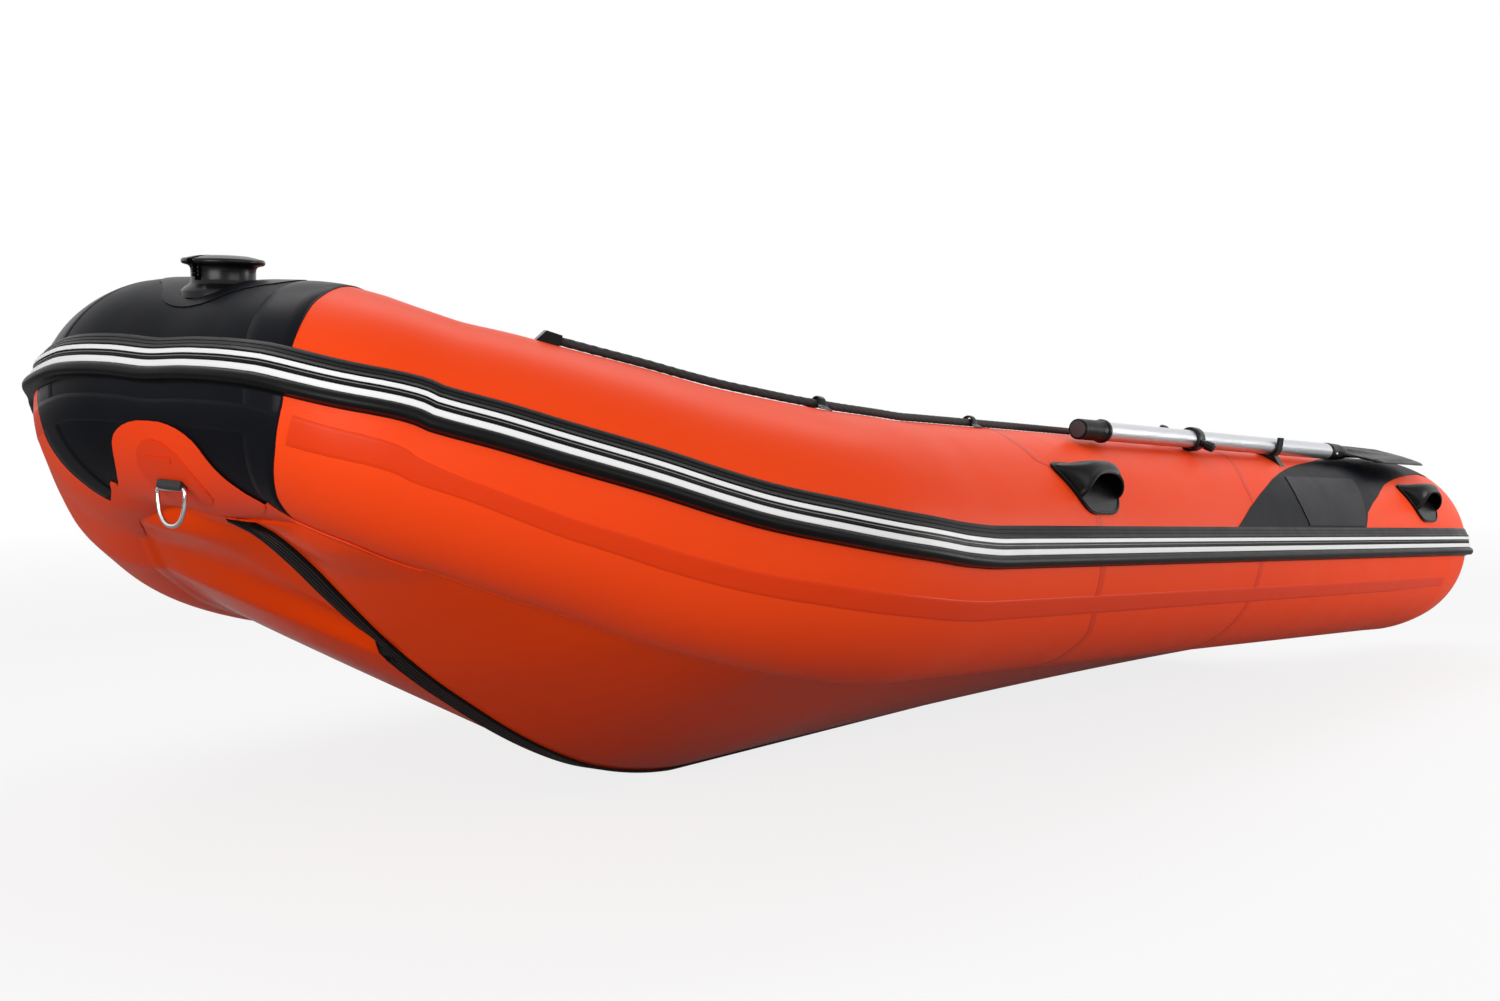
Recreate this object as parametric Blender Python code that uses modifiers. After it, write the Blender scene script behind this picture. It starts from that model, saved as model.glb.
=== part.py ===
"""Inflatable boat with an inflatable keel, a sectional floor, two benches and two stowed oars.

The boat is modelled in its hull axes: +X from the stern towards the bow, +Y to port and +Z up, with X
zero at the rub rail's aft end and Z zero at the centres of the side tubes. An empty carries it and pitches
the bow up until the straight run of the keel lies flat on the ground.
"""

from math import asin, atan, cos, degrees, pi, radians, sin, sqrt

import bmesh
import bpy
import numpy as np
from mathutils import Matrix, Vector

# Gap that touching pieces keep, and the merge distance of modifiers
GAP = 0.0003
MERGE = 0.00001
CUT_OVERRUN = 0.004

# Buoyancy tubes
TUBE_RADIUS = 0.210
TUBE_SPACING = 1.224
STRAIGHT_LENGTH = 2.39
CONE_START = 0.12
CONE_LENGTH = 0.39
BOW_TUBE_RADIUS = 0.170
BOW_REACH = 0.786
BOW_RISE = 0.195
TUBE_SIDES = 36
TUBE_SIDE_TURN = 5.0

# Stern cone from its base to its tip: share of its length, share of the tube's radius
CONE_SHARES = (
    (0, 1),
    (0.154, 0.975),
    (0.308, 0.93),
    (0.436, 0.85),
    (0.615, 0.70),
    (0.82, 0.50),
    (1, 0.30),
    (1.025, 0.15),
)

# Bow bend from aft to fore: shares of the reach, of the half spacing, of the rise and of the taper
BEND_SHARES = (
    (0, 1, 0, 0),
    (0.132, 1, 0.026, 0.025),
    (0.263, 0.990, 0.072, 0.15),
    (0.391, 0.949, 0.144, 0.275),
    (0.533, 0.863, 0.262, 0.425),
    (0.645, 0.776, 0.390, 0.575),
    (0.772, 0.655, 0.554, 0.725),
    (0.832, 0.588, 0.641, 0.80),
    (0.907, 0.493, 0.769, 0.90),
    (0.959, 0.420, 0.872, 0.96),
    (0.995, 0.289, 0.946, 1),
    (1, 0.147, 0.982, 1),
)
BOW_SEAM_SHARE = 0.5

# Keel line: a straight run and a forefoot that rises to the bow tube
KEEL_DROP_AT_ZERO = TUBE_RADIUS + 0.0864
KEEL_SLOPE = 0.0650
FOREFOOT_LEAD = 0.221
FOREFOOT_OVERRUN = 0.007
FOREFOOT_START = STRAIGHT_LENGTH - FOREFOOT_LEAD
FOREFOOT_REACH = FOREFOOT_LEAD + BOW_REACH + FOREFOOT_OVERRUN
FOREFOOT_SHARES = (
    (-0.115, 0),
    (0, 0),
    (0.115, 0.027),
    (0.225, 0.079),
    (0.330, 0.158),
    (0.432, 0.254),
    (0.529, 0.361),
    (0.612, 0.458),
    (0.683, 0.552),
    (0.751, 0.650),
    (0.817, 0.754),
    (0.876, 0.850),
    (0.952, 0.955),
    (1, 1),
)
GUARD_THICKNESS = 0.005
GUARD_HALF_WIDTH = 0.029
GUARD_CHAMFER = 0.003

# Bottom skin
SKIN_THICKNESS = 0.004
SKIN_START = 0.290
SKIN_FLANGE_ANGLE = 7.0
SKIN_ANGLE_AFT = -110.0
SKIN_ANGLE_FORE = -90.0
SKIN_STRAIGHT_COUNT = 7
SKIN_ACROSS_SHARES = (0.25, 0.5, 0.75)
SKIN_END_SHARES = (0.903, 0.933, 0.9625, 0.992)

# Rub rail: its middle's angle on the tube aft and at the bow, and its section
RAIL_ANGLE_AFT = 5.2
RAIL_ANGLE_FORE = 16.8
RAIL_HALF_WIDTH = 0.0435
RAIL_EDGE = 0.004
RAIL_BODY = 0.011
RAIL_SLOPE_WIDTH = 0.010
RAIL_BEAD_RADIUS = 0.0105
RAIL_BEAD_DROP = 0.017
RAIL_SEAT_POINTS = 5

# Transom and the plate that an outboard motor clamps to
TRANSOM_FACE = 0.300
TRANSOM_THICKNESS = 0.024
TRANSOM_DROP = 0.020
TRANSOM_TOP = TUBE_RADIUS - TRANSOM_DROP
NOTCH_HEIGHT = 0.070
NOTCH_HALF_WIDTH = 0.200
NOTCH_SLANT = 0.060
TRANSOM_CORNER = 0.040
TRANSOM_CORNER_SHARE = 0.6
TRANSOM_EDGE_POINTS = 19
MOTOR_PLATE_HALF_WIDTH = 0.130
MOTOR_PLATE_HEIGHT = 0.150
MOTOR_PLATE_DROP = 0.018
MOTOR_PLATE_THICKNESS = 0.006
MOTOR_PLATE_CHAMFER = 0.015

# Drain through the transom
DRAIN_OFFSET = 0.120
DRAIN_HEIGHT = 0.075
DRAIN_TUBE_RADIUS = 0.016
DRAIN_FLANGE_RADIUS = 0.030
DRAIN_FLANGE_THICKNESS = 0.004
DRAIN_BOSS_RADIUS = 0.014
DRAIN_BOSS_LENGTH = 0.008
DRAIN_CAP_RADIUS = 0.022
DRAIN_CAP_WALL = 0.004
DRAIN_GRIP_LENGTH = 0.008
DRAIN_GRIP_WIDTH = 0.008

# Sectional floor
FLOOR_TOP = -0.130
FLOOR_THICKNESS = 0.012
FLOOR_START = 0.340
FLOOR_BOARD_LENGTH = 0.620
FLOOR_OVERRUN = 0.210
FLOOR_BOW_HALF_WIDTH = 0.300
FLOOR_TAPER_LENGTH = 0.400
FLOOR_END = STRAIGHT_LENGTH + FLOOR_OVERRUN
FLOOR_TAPER_START = FLOOR_END - FLOOR_TAPER_LENGTH
FLOOR_BOARD_LENGTHS = (
    FLOOR_BOARD_LENGTH,
    FLOOR_BOARD_LENGTH,
    FLOOR_END - FLOOR_START - 2 * FLOOR_BOARD_LENGTH,
)
STRINGER_WALL = 0.0025
STRINGER_FLANGE = 0.025
STRINGER_START = 0.400
STRINGER_END_CLEARANCE = 0.240
STRINGER_LENGTH = STRAIGHT_LENGTH - STRINGER_START - STRINGER_END_CLEARANCE

# Inflatable keel under the floor
KEEL_TUBE_START = 0.350
KEEL_TUBE_END = FLOOR_END
KEEL_TUBE_CLEARANCE = 0.004
KEEL_TUBE_WIDTH_SHARE = 0.90
KEEL_TUBE_SIDES = 20
KEEL_TUBE_ROUND = 0.060
KEEL_END_SHARES = ((0, 0.35), (0.2, 0.70), (0.55, 0.92), (1, 1))
KEEL_VALVE_X = 1.300
KEEL_VALVE_RADIUS = 0.026
KEEL_VALVE_HEIGHT = 0.018
KEEL_VALVE_CLEARANCE = 0.006

# Seat tracks on the tubes and the benches that slide along them
TRACK_ANGLE = 132.0
TRACK_START = 0.640
TRACK_END_CLEARANCE = 0.250
TRACK_LENGTH = STRAIGHT_LENGTH - TRACK_START - TRACK_END_CLEARANCE
TRACK_BASE_HALF_WIDTH = 0.016
TRACK_BASE_THICKNESS = 0.003
TRACK_WEB_HALF = 0.0015
TRACK_BEAD_RADIUS = 0.006
TRACK_BEAD_HEIGHT = 0.015
TRACK_SEAT_POINTS = 5
BENCH_HALF_LENGTH = 0.515
BENCH_THICKNESS = 0.018
BENCH_WIDTH = 0.220
BENCH_AFT_X = 0.760
BENCH_FORE_CLEARANCE = 0.500
BENCH_FORE_X = TRACK_START + TRACK_LENGTH - BENCH_FORE_CLEARANCE
HOOK_WALL = 0.004
HOOK_CLEARANCE = 0.0015
HOOK_MOUTH_ANGLE = 50.0

# Oar stowed along the tube: its axis, and its pieces along the hull
OAR_ANGLE = 67.926
OAR_HEIGHT = 0.02416
OAR_OUT = (TUBE_RADIUS + OAR_HEIGHT) * cos(radians(OAR_ANGLE))
OAR_UP = (TUBE_RADIUS + OAR_HEIGHT) * sin(radians(OAR_ANGLE))
SHAFT_RADIUS = 0.0175
OAR_GRIP_END = 1.870
OAR_GRIP_LENGTH = 0.091
OAR_COLLAR_X = 1.412
OAR_CLIP_X = 1.012
OAR_BLADE_START = 0.690
OAR_BLADE_TIP = 0.122
OAR_PLUG_LENGTH = 0.060
OAR_PLUG_RADIUS = 0.0135
GRIP_RADIUS = 0.0185
GRIP_RING_RADIUS = 0.0215
GRIP_RING_LENGTH = 0.008
BLADE_NECK_RADIUS = 0.0180
BLADE_NECK_LENGTH = 0.060
BLADE_HALF_WIDTH = 0.070
BLADE_THICKNESS = 0.012
BLADE_SHOULDER = 0.180
BLADE_TIP_ROUND = 0.060

# Oarlock: hinge and swivel pin on the crest of the tube, collar round the shaft
SWIVEL_LEAN = 70.0
LOCK_REACH = 0.0633
LOCK_HINGE_RISE = 0.0135
LOCK_PAD_THICKNESS = 0.005
LOCK_PAD_HALF_LENGTH = 0.040
LOCK_PAD_OUT_ANGLE = 6.5
LOCK_PAD_IN_ANGLE = 5.5
LOCK_PAD_POINTS = 5
LOCK_EAR_THICKNESS = 0.006
LOCK_EAR_RADIUS = 0.008
LOCK_KNUCKLE_RADIUS = 0.007
LOCK_KNUCKLE_HALF = 0.0085
LOCK_AXLE_RADIUS = 0.0035
LOCK_EAR_CLEARANCE = 0.0003
LOCK_SHOULDER = 0.0081
LOCK_PIN_RADIUS = 0.0050
LOCK_EYE_RADIUS = 0.0100
LOCK_EYE_HEIGHT = 0.0090
LOCK_CAP_RADIUS = 0.0095
LOCK_CAP_HEIGHT = 0.0045
COLLAR_WALL = 0.0060
COLLAR_HALF_LENGTH = 0.0130
COLLAR_ARM_HALF = 0.0065
KNOB_RADIUS = 0.0095
KNOB_LENGTH = 0.020
KNOB_BOSS_RADIUS = 0.0070
KNOB_BOSS_LENGTH = 0.0050
KNOB_FLUTES = 8
KNOB_FLUTE_SHARE = 0.86

# Clip that holds the shaft
CLIP_HALF_LENGTH = 0.012
CLIP_WALL = 0.0050
CLIP_CLEARANCE = 0.0006
CLIP_HORN_IN = 0.010
CLIP_HORN_OUT = 0.018
CLIP_FLARE = 0.004
CLIP_FOOT_THICKNESS = 0.003
CLIP_FOOT_OUT_ANGLE = 56.0
CLIP_FOOT_IN_ANGLE = 82.0
CLIP_FOOT_POINTS = 6

# Lifeline, its eyelets and its end fittings
ROPE_RADIUS = 0.0060
ROPE_CLEARANCE = 0.0012
ROPE_END_GAP = 0.0009
LIFELINE_FORE = (0.800, 86.0)
EYELET_PLACES = ((0.302, 84.0), (-0.291, 85.0))
LIFELINE_AFT_X = 1.231
LIFELINE_AFT_ANGLE = 97.0
LIFELINE_STEP = 0.060
EYELET_HALF_LENGTH = 0.011
EYELET_WALL = 0.0030
EYELET_FOOT = 0.009
WEDGE_LENGTH = 0.034
WEDGE_HEIGHT = 0.017
WEDGE_HALF_WIDTH = 0.011
WEDGE_TOP = 0.010
AFT_DOME_RADIUS = 0.028
AFT_DOME_HEIGHT = 0.030
AFT_DOME_FOOT = 0.004
AFT_DOME_ANGLES = (25, 50, 72, 90)

# Carry handles: middle along the hull and angle on the tube
HANDLE_FORE_CLEARANCE = 0.380
HANDLE_PLACES = ((STRAIGHT_LENGTH - HANDLE_FORE_CLEARANCE, 32.6), (0.294, 31.0))
HANDLE_HALF_HEIGHT = 0.050
HANDLE_TOP_HALF = 0.1165
HANDLE_FOOT_HALF = 0.056
HANDLE_BASE = 0.004
HANDLE_HOOD_SHARES = (
    (-0.40, 0.62, 1),
    (0, 0.70, 1),
    (0.40, 0.78, 0.78),
    (0.75, 0.84, 0.36),
    (0.92, 0.86, 0.06),
)
HANDLE_POCKET_SHARES = ((-1.3, 0.50, 0.86), (-0.40, 0.52, 0.84), (0.20, 0.56, 0.74), (0.60, 0.44, 0.34))
HANDLE_HOOD_HEIGHT = 0.040
HANDLE_ARC_POINTS = 9

# Rope bollard on the bow tube
BOLLARD_ANGLE = 80.0
BOLLARD_LIP_RADIUS = 0.060
BOLLARD_LIP_THICKNESS = 0.015
BOLLARD_BARREL_RADIUS = 0.046
BOLLARD_HEIGHT = 0.040
BOLLARD_FLANGE_RADIUS = 0.064
BOLLARD_FLANGE_THICKNESS = 0.003
BOLLARD_SLOT_HALF = 0.007
BOLLARD_SLOT_DEPTH = 0.030
BOLLARD_SLOT_FLOOR = 0.006
BOLLARD_DISH = 0.004

# Ring patch and towing ring under the bow
PATCH_TOP_ANGLE = -13.0
PATCH_END_ANGLE = -74.0
PATCH_THICKNESS = 0.003
PATCH_TOP_HALF = 0.050
PATCH_END_HALF = 0.105
PATCH_ROWS = 9
RING_ANGLE = -46.0
RING_WIRE_RADIUS = 0.0035
RING_CLEARANCE = 0.0005
RING_LOOP_WALL = 0.0020
RING_LOOP_HALF = 0.0200
RING_HALF_WIDTH = 0.0250
RING_DROP = 0.0560
RING_ARC_POINTS = 12

# Air valves: places on the side tubes and on the bow tube
VALVE_X = 0.480
VALVE_ANGLE = 150.0
BOW_VALVE_ANGLE = 165.0
VALVE_FLANGE_RADIUS = 0.030
VALVE_FLANGE_THICKNESS = 0.004
VALVE_BOSS_RADIUS = 0.016
VALVE_BOSS_HEIGHT = 0.006
VALVE_CAP_RADIUS = 0.023
VALVE_CAP_HEIGHT = 0.011
VALVE_CAP_WALL = 0.004
VALVE_SEAT_DEPTH = 0.010
VALVE_GRIP_SHARE = 0.75

# Facets of turned pieces
TURN_STEPS = 20
SMALL_TURN_STEPS = 12

# Colours (red, green, blue), roughness and metallic value of each material
FINISHES = {
    "orange_pvc": ((0.90, 0.13, 0.015), 0.42, 0.0),
    "black_pvc": ((0.012, 0.013, 0.018), 0.45, 0.0),
    "black_rubber": ((0.010, 0.010, 0.011), 0.50, 0.0),
    "black_plastic": ((0.008, 0.008, 0.009), 0.32, 0.0),
    "black_rope": ((0.010, 0.009, 0.009), 0.80, 0.0),
    "brushed_aluminium": ((0.60, 0.61, 0.62), 0.32, 1.0),
    "chrome": ((0.72, 0.72, 0.73), 0.08, 1.0),
    "marine_plywood": ((0.30, 0.17, 0.08), 0.45, 0.0),
    "floor_plywood": ((0.16, 0.14, 0.12), 0.55, 0.0),
}

HALF_SPACING = TUBE_SPACING / 2
UP = Vector((0, 0, 1))


def clear_scene():
    for obj in list(bpy.data.objects):
        bpy.data.objects.remove(obj, do_unlink=True)


def new_collection(name):
    group = bpy.data.collections.new(name)
    bpy.context.scene.collection.children.link(group)
    return group


clear_scene()
PARTS = new_collection("inflatable_boat")
WORKSHOP = new_collection("workshop")
HULL = bpy.data.objects.new("hull_axes", None)
PARTS.objects.link(HULL)


def material(name):
    """Principled material made once from the table of finishes."""
    if name in bpy.data.materials:
        return bpy.data.materials[name]
    colour, roughness, metallic = FINISHES[name]
    made = bpy.data.materials.new(name)
    made.use_nodes = True
    shader = made.node_tree.nodes["Principled BSDF"]
    shader.inputs["Base Color"].default_value = (*colour, 1)
    shader.inputs["Roughness"].default_value = roughness
    shader.inputs["Metallic"].default_value = metallic
    made.diffuse_color = (*colour, 1)
    return made


def place(name, mesh, finish, pivot=(0, 0, 0), smooth=True):
    """Names a mesh given in hull axes and sets its origin to the pivot."""
    mesh.transform(Matrix.Translation(-Vector(pivot)))
    mesh.materials.clear()
    mesh.materials.append(material(finish))
    if smooth:
        mesh.shade_smooth()
        mesh.set_sharp_from_angle(angle=radians(35))
    obj = bpy.data.objects.new(name, mesh)
    obj.location = pivot
    obj.parent = HULL
    PARTS.objects.link(obj)
    return obj


def mirrored(obj, name):
    """The same piece on the starboard side."""
    mesh = obj.data.copy()
    mesh.transform(Matrix.Scale(-1, 4, Vector((0, 1, 0))))
    mesh.flip_normals()
    twin = bpy.data.objects.new(name, mesh)
    twin.location = (obj.location.x, -obj.location.y, obj.location.z)
    twin.parent = HULL
    PARTS.objects.link(twin)
    return twin


def both_sides(stem, mesh, finish, pivot=(0, 0, 0)):
    port = place(stem + "_port", mesh, finish, pivot)
    mirrored(port, stem + "_starboard")


def evaluated_mesh(obj):
    """Mesh of an object with its modifiers or its curve's bevel; the object is removed."""
    bpy.context.view_layer.update()
    ready = obj.evaluated_get(bpy.context.evaluated_depsgraph_get())
    mesh = bpy.data.meshes.new_from_object(ready)
    bm = bmesh.new()
    bm.from_mesh(mesh)
    bmesh.ops.remove_doubles(bm, verts=bm.verts, dist=MERGE)
    bmesh.ops.recalc_face_normals(bm, faces=bm.faces)
    bm.to_mesh(mesh)
    bm.free()
    bpy.data.objects.remove(obj, do_unlink=True)
    return mesh


def workshop_object(name, data):
    obj = bpy.data.objects.new(name, data)
    obj.hide_render = True
    obj.display_type = "WIRE"
    WORKSHOP.objects.link(obj)
    return obj


def loft(rings):
    """Closed body through rings of the same number of points."""
    bm = bmesh.new()
    grid = [[bm.verts.new(point) for point in ring] for ring in rings]
    count = len(rings[0])
    for ring, following in zip(grid, grid[1:]):
        for i in range(count):
            j = (i + 1) % count
            bm.faces.new((ring[i], ring[j], following[j], following[i]))
    bm.faces.new(list(reversed(grid[0])))
    bm.faces.new(grid[-1])
    bmesh.ops.recalc_face_normals(bm, faces=bm.faces)
    mesh = bpy.data.meshes.new("loft")
    bm.to_mesh(mesh)
    bm.free()
    return mesh


def plate(outline, thickness, axes):
    """Flat outline extruded both ways by half its thickness; the matrix takes its plane into hull axes."""
    curve = bpy.data.curves.new("outline", "CURVE")
    curve.dimensions = "2D"
    curve.fill_mode = "BOTH"
    curve.extrude = thickness / 2
    spline = curve.splines.new("POLY")
    spline.points.add(len(outline) - 1)
    for point, (across, upward) in zip(spline.points, outline):
        point.co = (across, upward, 0, 1)
    spline.use_cyclic_u = True
    mesh = evaluated_mesh(workshop_object("outline", curve))
    mesh.transform(axes)
    return mesh


def bar(points, radius, resolution=2, cyclic=False):
    """Round bar or rope through points, with filled caps."""
    curve = bpy.data.curves.new("route", "CURVE")
    curve.dimensions = "3D"
    curve.bevel_depth = radius
    curve.bevel_resolution = resolution
    curve.use_fill_caps = not cyclic
    curve.twist_mode = "MINIMUM"
    spline = curve.splines.new("POLY")
    spline.points.add(len(points) - 1)
    for point, co in zip(spline.points, points):
        point.co = (*co, 1)
    spline.use_cyclic_u = cyclic
    return evaluated_mesh(workshop_object("route", curve))


def turned(profile, axes=None, steps=TURN_STEPS, closed=False):
    """Solid of revolution about Z; its (radius, height) profile runs down the outer side."""
    outline = bpy.data.meshes.new("profile")
    edges = [(i, i + 1) for i in range(len(profile) - 1)]
    if closed:
        edges.append((len(profile) - 1, 0))
    outline.from_pydata([(radius, 0, height) for radius, height in profile], edges, [])
    obj = workshop_object("profile", outline)
    screw = obj.modifiers.new("turn", "SCREW")
    screw.steps = steps
    screw.render_steps = steps
    screw.use_merge_vertices = True
    screw.merge_threshold = MERGE
    mesh = evaluated_mesh(obj)
    if axes is not None:
        mesh.transform(axes)
    return mesh


def combined(mesh, others, operation):
    """Mesh joined with or cut by other meshes."""
    obj = workshop_object("body", mesh)
    tools = []
    for other in others:
        tool = workshop_object("tool", other)
        step = obj.modifiers.new(operation.lower(), "BOOLEAN")
        step.operation = operation
        step.object = tool
        tools.append(tool)
    result = evaluated_mesh(obj)
    for tool in tools:
        bpy.data.objects.remove(tool, do_unlink=True)
    return result


def block(low, high):
    """Box between two corners."""
    bm = bmesh.new()
    bmesh.ops.create_cube(bm, size=1)
    mesh = bpy.data.meshes.new("block")
    bm.to_mesh(mesh)
    bm.free()
    low, high = Vector(low), Vector(high)
    mesh.transform(Matrix.Translation((low + high) / 2) @ Matrix.Diagonal((*(high - low), 1)))
    return mesh


def axes_at(origin, x_axis, y_axis):
    """Matrix whose columns are two given directions, their cross product and an origin."""
    x_axis = Vector(x_axis).normalized()
    z_axis = x_axis.cross(Vector(y_axis)).normalized()
    y_axis = z_axis.cross(x_axis)
    return Matrix((
        (x_axis.x, y_axis.x, z_axis.x, origin[0]),
        (x_axis.y, y_axis.y, z_axis.y, origin[1]),
        (x_axis.z, y_axis.z, z_axis.z, origin[2]),
        (0, 0, 0, 1),
    ))


def turned_axes(origin, direction):
    """Axes whose Z is the given direction, for a turned piece."""
    direction = Vector(direction).normalized()
    side = Vector((0, 1, 0)).cross(direction)
    if side.length < 0.1:
        side = Vector((1, 0, 0))
    return axes_at(origin, side, direction.cross(side))


def across_hull(x):
    """Axes of an outline given as (port, up) and extruded along the hull."""
    return axes_at((x, 0, 0), (0, 1, 0), (0, 0, 1))


def spread(start, stop, count):
    return [start + (stop - start) * i / (count - 1) for i in range(count)]


def arc(centre, radius, start, stop, count):
    """Points of an arc between two angles in degrees."""
    return [
        (centre[0] + radius * cos(radians(a)), centre[1] + radius * sin(radians(a)))
        for a in spread(start, stop, count)
    ]


class Station:
    """Section of the port tube: its centre, its axes and its radius."""

    def __init__(self, centre, radius, taper):
        self.centre = centre
        self.radius = radius
        self.taper = taper
        self.along = None
        self.stretch = 1.0

    def aim(self, before, after):
        pairs = ((before, self.centre), (self.centre, after))
        ways = [(b - a).normalized() for a, b in pairs if (b - a).length > 0]
        self.along = sum(ways, Vector()).normalized()
        self.stretch = 1 / self.along.dot(ways[0])
        self.out = UP.cross(self.along).normalized()
        self.rise = self.along.cross(self.out)

    def point(self, angle, lift=0.0):
        """Point at an angle above the outboard side, a lift away from the fabric."""
        reach = self.radius + lift
        a = radians(angle)
        return self.centre + self.out * (reach * self.stretch * cos(a)) + self.rise * (reach * sin(a))


def port_stations():
    """Sections of the port tube from the cone's tip to the middle of the bow."""
    found = []
    for length_share, radius_share in reversed(CONE_SHARES):
        x = CONE_START - CONE_LENGTH * length_share
        found.append(Station(Vector((x, HALF_SPACING, 0)), TUBE_RADIUS * radius_share, 0.0))
    for reach_share, half_share, rise_share, taper in BEND_SHARES:
        centre = Vector((
            STRAIGHT_LENGTH + BOW_REACH * reach_share,
            HALF_SPACING * half_share,
            BOW_RISE * rise_share,
        ))
        radius = TUBE_RADIUS + (BOW_TUBE_RADIUS - TUBE_RADIUS) * taper
        found.append(Station(centre, radius, taper))
    found.append(Station(Vector((STRAIGHT_LENGTH + BOW_REACH, 0, BOW_RISE)), BOW_TUBE_RADIUS, 1.0))
    centres = [s.centre for s in found]
    mirrored_next = Vector((centres[-2].x, -centres[-2].y, centres[-2].z))
    for i, station in enumerate(found):
        before = centres[i - 1] if i else centres[i]
        after = centres[i + 1] if i + 1 < len(centres) else mirrored_next
        station.aim(before, after)
    found[-1].along = Vector((0, -1, 0))
    found[-1].stretch = 1.0
    found[-1].out = Vector((1, 0, 0))
    found[-1].rise = UP.copy()
    return found


STATIONS = port_stations()
CONE_COUNT = len(CONE_SHARES)
BEND = STATIONS[CONE_COUNT:]
SEAM_AFT = STATIONS[-4]
SEAM_FORE = STATIONS[-3]
BOW_MIDDLE = STATIONS[-1]


def seat_lift(step_angle, radius=TUBE_RADIUS):
    """Lift of a faceted seat's corners that keeps its flats a gap off a round tube."""
    return (radius + GAP) / cos(radians(step_angle / 2)) - radius


def ring_angles():
    return [TUBE_SIDE_TURN + 360 * i / TUBE_SIDES for i in range(TUBE_SIDES)]


def between(first, second, share):
    """Section between two neighbours, cut where the chambers meet."""
    made = Station(first.centre.lerp(second.centre, share), 0, 0)
    made.radius = first.radius + (second.radius - first.radius) * share
    made.taper = first.taper + (second.taper - first.taper) * share
    made.along = (second.centre - first.centre).normalized()
    made.out = UP.cross(made.along).normalized()
    made.rise = made.along.cross(made.out)
    return made


def seam_station(offset):
    """Section near the seam of side and bow chamber, an offset ahead of its middle."""
    length = (SEAM_FORE.centre - SEAM_AFT.centre).length
    return between(SEAM_AFT, SEAM_FORE, BOW_SEAM_SHARE + offset / length)


def on_tube(x, angle, lift=0.0):
    """Point on the straight part of the port tube."""
    a = radians(angle)
    reach = TUBE_RADIUS + lift
    return Vector((x, HALF_SPACING + reach * cos(a), reach * sin(a)))


def tube_way(angle):
    """Direction away from the tube's centre at an angle, in the cross-section."""
    return Vector((0, cos(radians(angle)), sin(radians(angle))))


def wrapped(x, angle, across, lift):
    """Point of a pad that follows the tube: a place along, an arc length up from an angle and a lift."""
    return on_tube(x, angle + degrees(across / TUBE_RADIUS), lift)


def tubes():
    """Side chambers with their stern cones, and the bow chamber between them."""
    angles = ring_angles()
    side = STATIONS[:-3] + [seam_station(-GAP / 2)]
    mesh = loft([[s.point(a) for a in angles] for s in side])
    both_sides("tube", mesh, "orange_pvc")
    half = [seam_station(GAP / 2), SEAM_FORE, STATIONS[-2]]
    port = [[s.point(a) for a in angles] for s in half]
    middle = [[BOW_MIDDLE.point(a) for a in angles]]
    starboard = [[Vector((p.x, -p.y, p.z)) for p in ring] for ring in reversed(port)]
    place("tube_bow", loft(port + middle + starboard), "black_pvc")


def rail_section(station):
    """Ring of the rub rail round one section of the tube."""
    angle = RAIL_ANGLE_AFT + (RAIL_ANGLE_FORE - RAIL_ANGLE_AFT) * station.taper
    step = degrees(2 * RAIL_HALF_WIDTH / station.radius) / (RAIL_SEAT_POINTS - 1)
    seat = seat_lift(step, station.radius)
    bead_top = -RAIL_BEAD_DROP + RAIL_BEAD_RADIUS
    bead_low = -RAIL_BEAD_DROP - RAIL_BEAD_RADIUS
    outer = [
        (RAIL_HALF_WIDTH, RAIL_EDGE),
        (RAIL_HALF_WIDTH - RAIL_SLOPE_WIDTH, RAIL_BODY),
        (bead_top, RAIL_BODY),
    ]
    outer += arc((-RAIL_BEAD_DROP, RAIL_BODY), RAIL_BEAD_RADIUS, 45, 135, 3)
    outer += [(bead_low, RAIL_BODY), (-RAIL_HALF_WIDTH, RAIL_EDGE)]
    seated = spread(-RAIL_HALF_WIDTH, RAIL_HALF_WIDTH, RAIL_SEAT_POINTS)
    inner = [(across, seat) for across in seated]
    ring = outer + inner
    turn = 180 / pi / station.radius
    return [station.point(angle + across * turn, lift) for across, lift in ring]


def rub_rail():
    """One rail round the whole boat from the port stern over the bow to the starboard stern."""
    side = [s for s in STATIONS[:-3] if -GAP <= s.centre.x]
    port = [rail_section(s) for s in side + [seam_station(0)] + STATIONS[-3:]]
    starboard = [[Vector((p.x, -p.y, p.z)) for p in ring] for ring in reversed(port[:-1])]
    place("rub_rail", loft(port + starboard), "black_rubber")


def smooth_share(table, x):
    """Smooth curve through a table of shares."""
    xs = [row[0] for row in table]
    ys = [row[1] for row in table]
    x = min(max(x, xs[0]), xs[-1])
    slopes = np.gradient(ys, xs)
    i = min(int(np.searchsorted(xs, x, side="right")) - 1, len(xs) - 2)
    width = xs[i + 1] - xs[i]
    t = (x - xs[i]) / width
    start = (1 + 2 * t) * (1 - t) ** 2 * ys[i] + t * (1 - t) ** 2 * width * slopes[i]
    stop = t * t * (3 - 2 * t) * ys[i + 1] + t * t * (t - 1) * width * slopes[i + 1]
    return start + stop


STACK = GUARD_THICKNESS + SKIN_THICKNESS + 2 * GAP
FOREFOOT_END = FOREFOOT_START + FOREFOOT_REACH
KEEL_END_HEIGHT = BOW_RISE - BOW_TUBE_RADIUS - STACK
FOREFOOT_RISE = KEEL_END_HEIGHT + KEEL_DROP_AT_ZERO + KEEL_SLOPE * FOREFOOT_END


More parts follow.
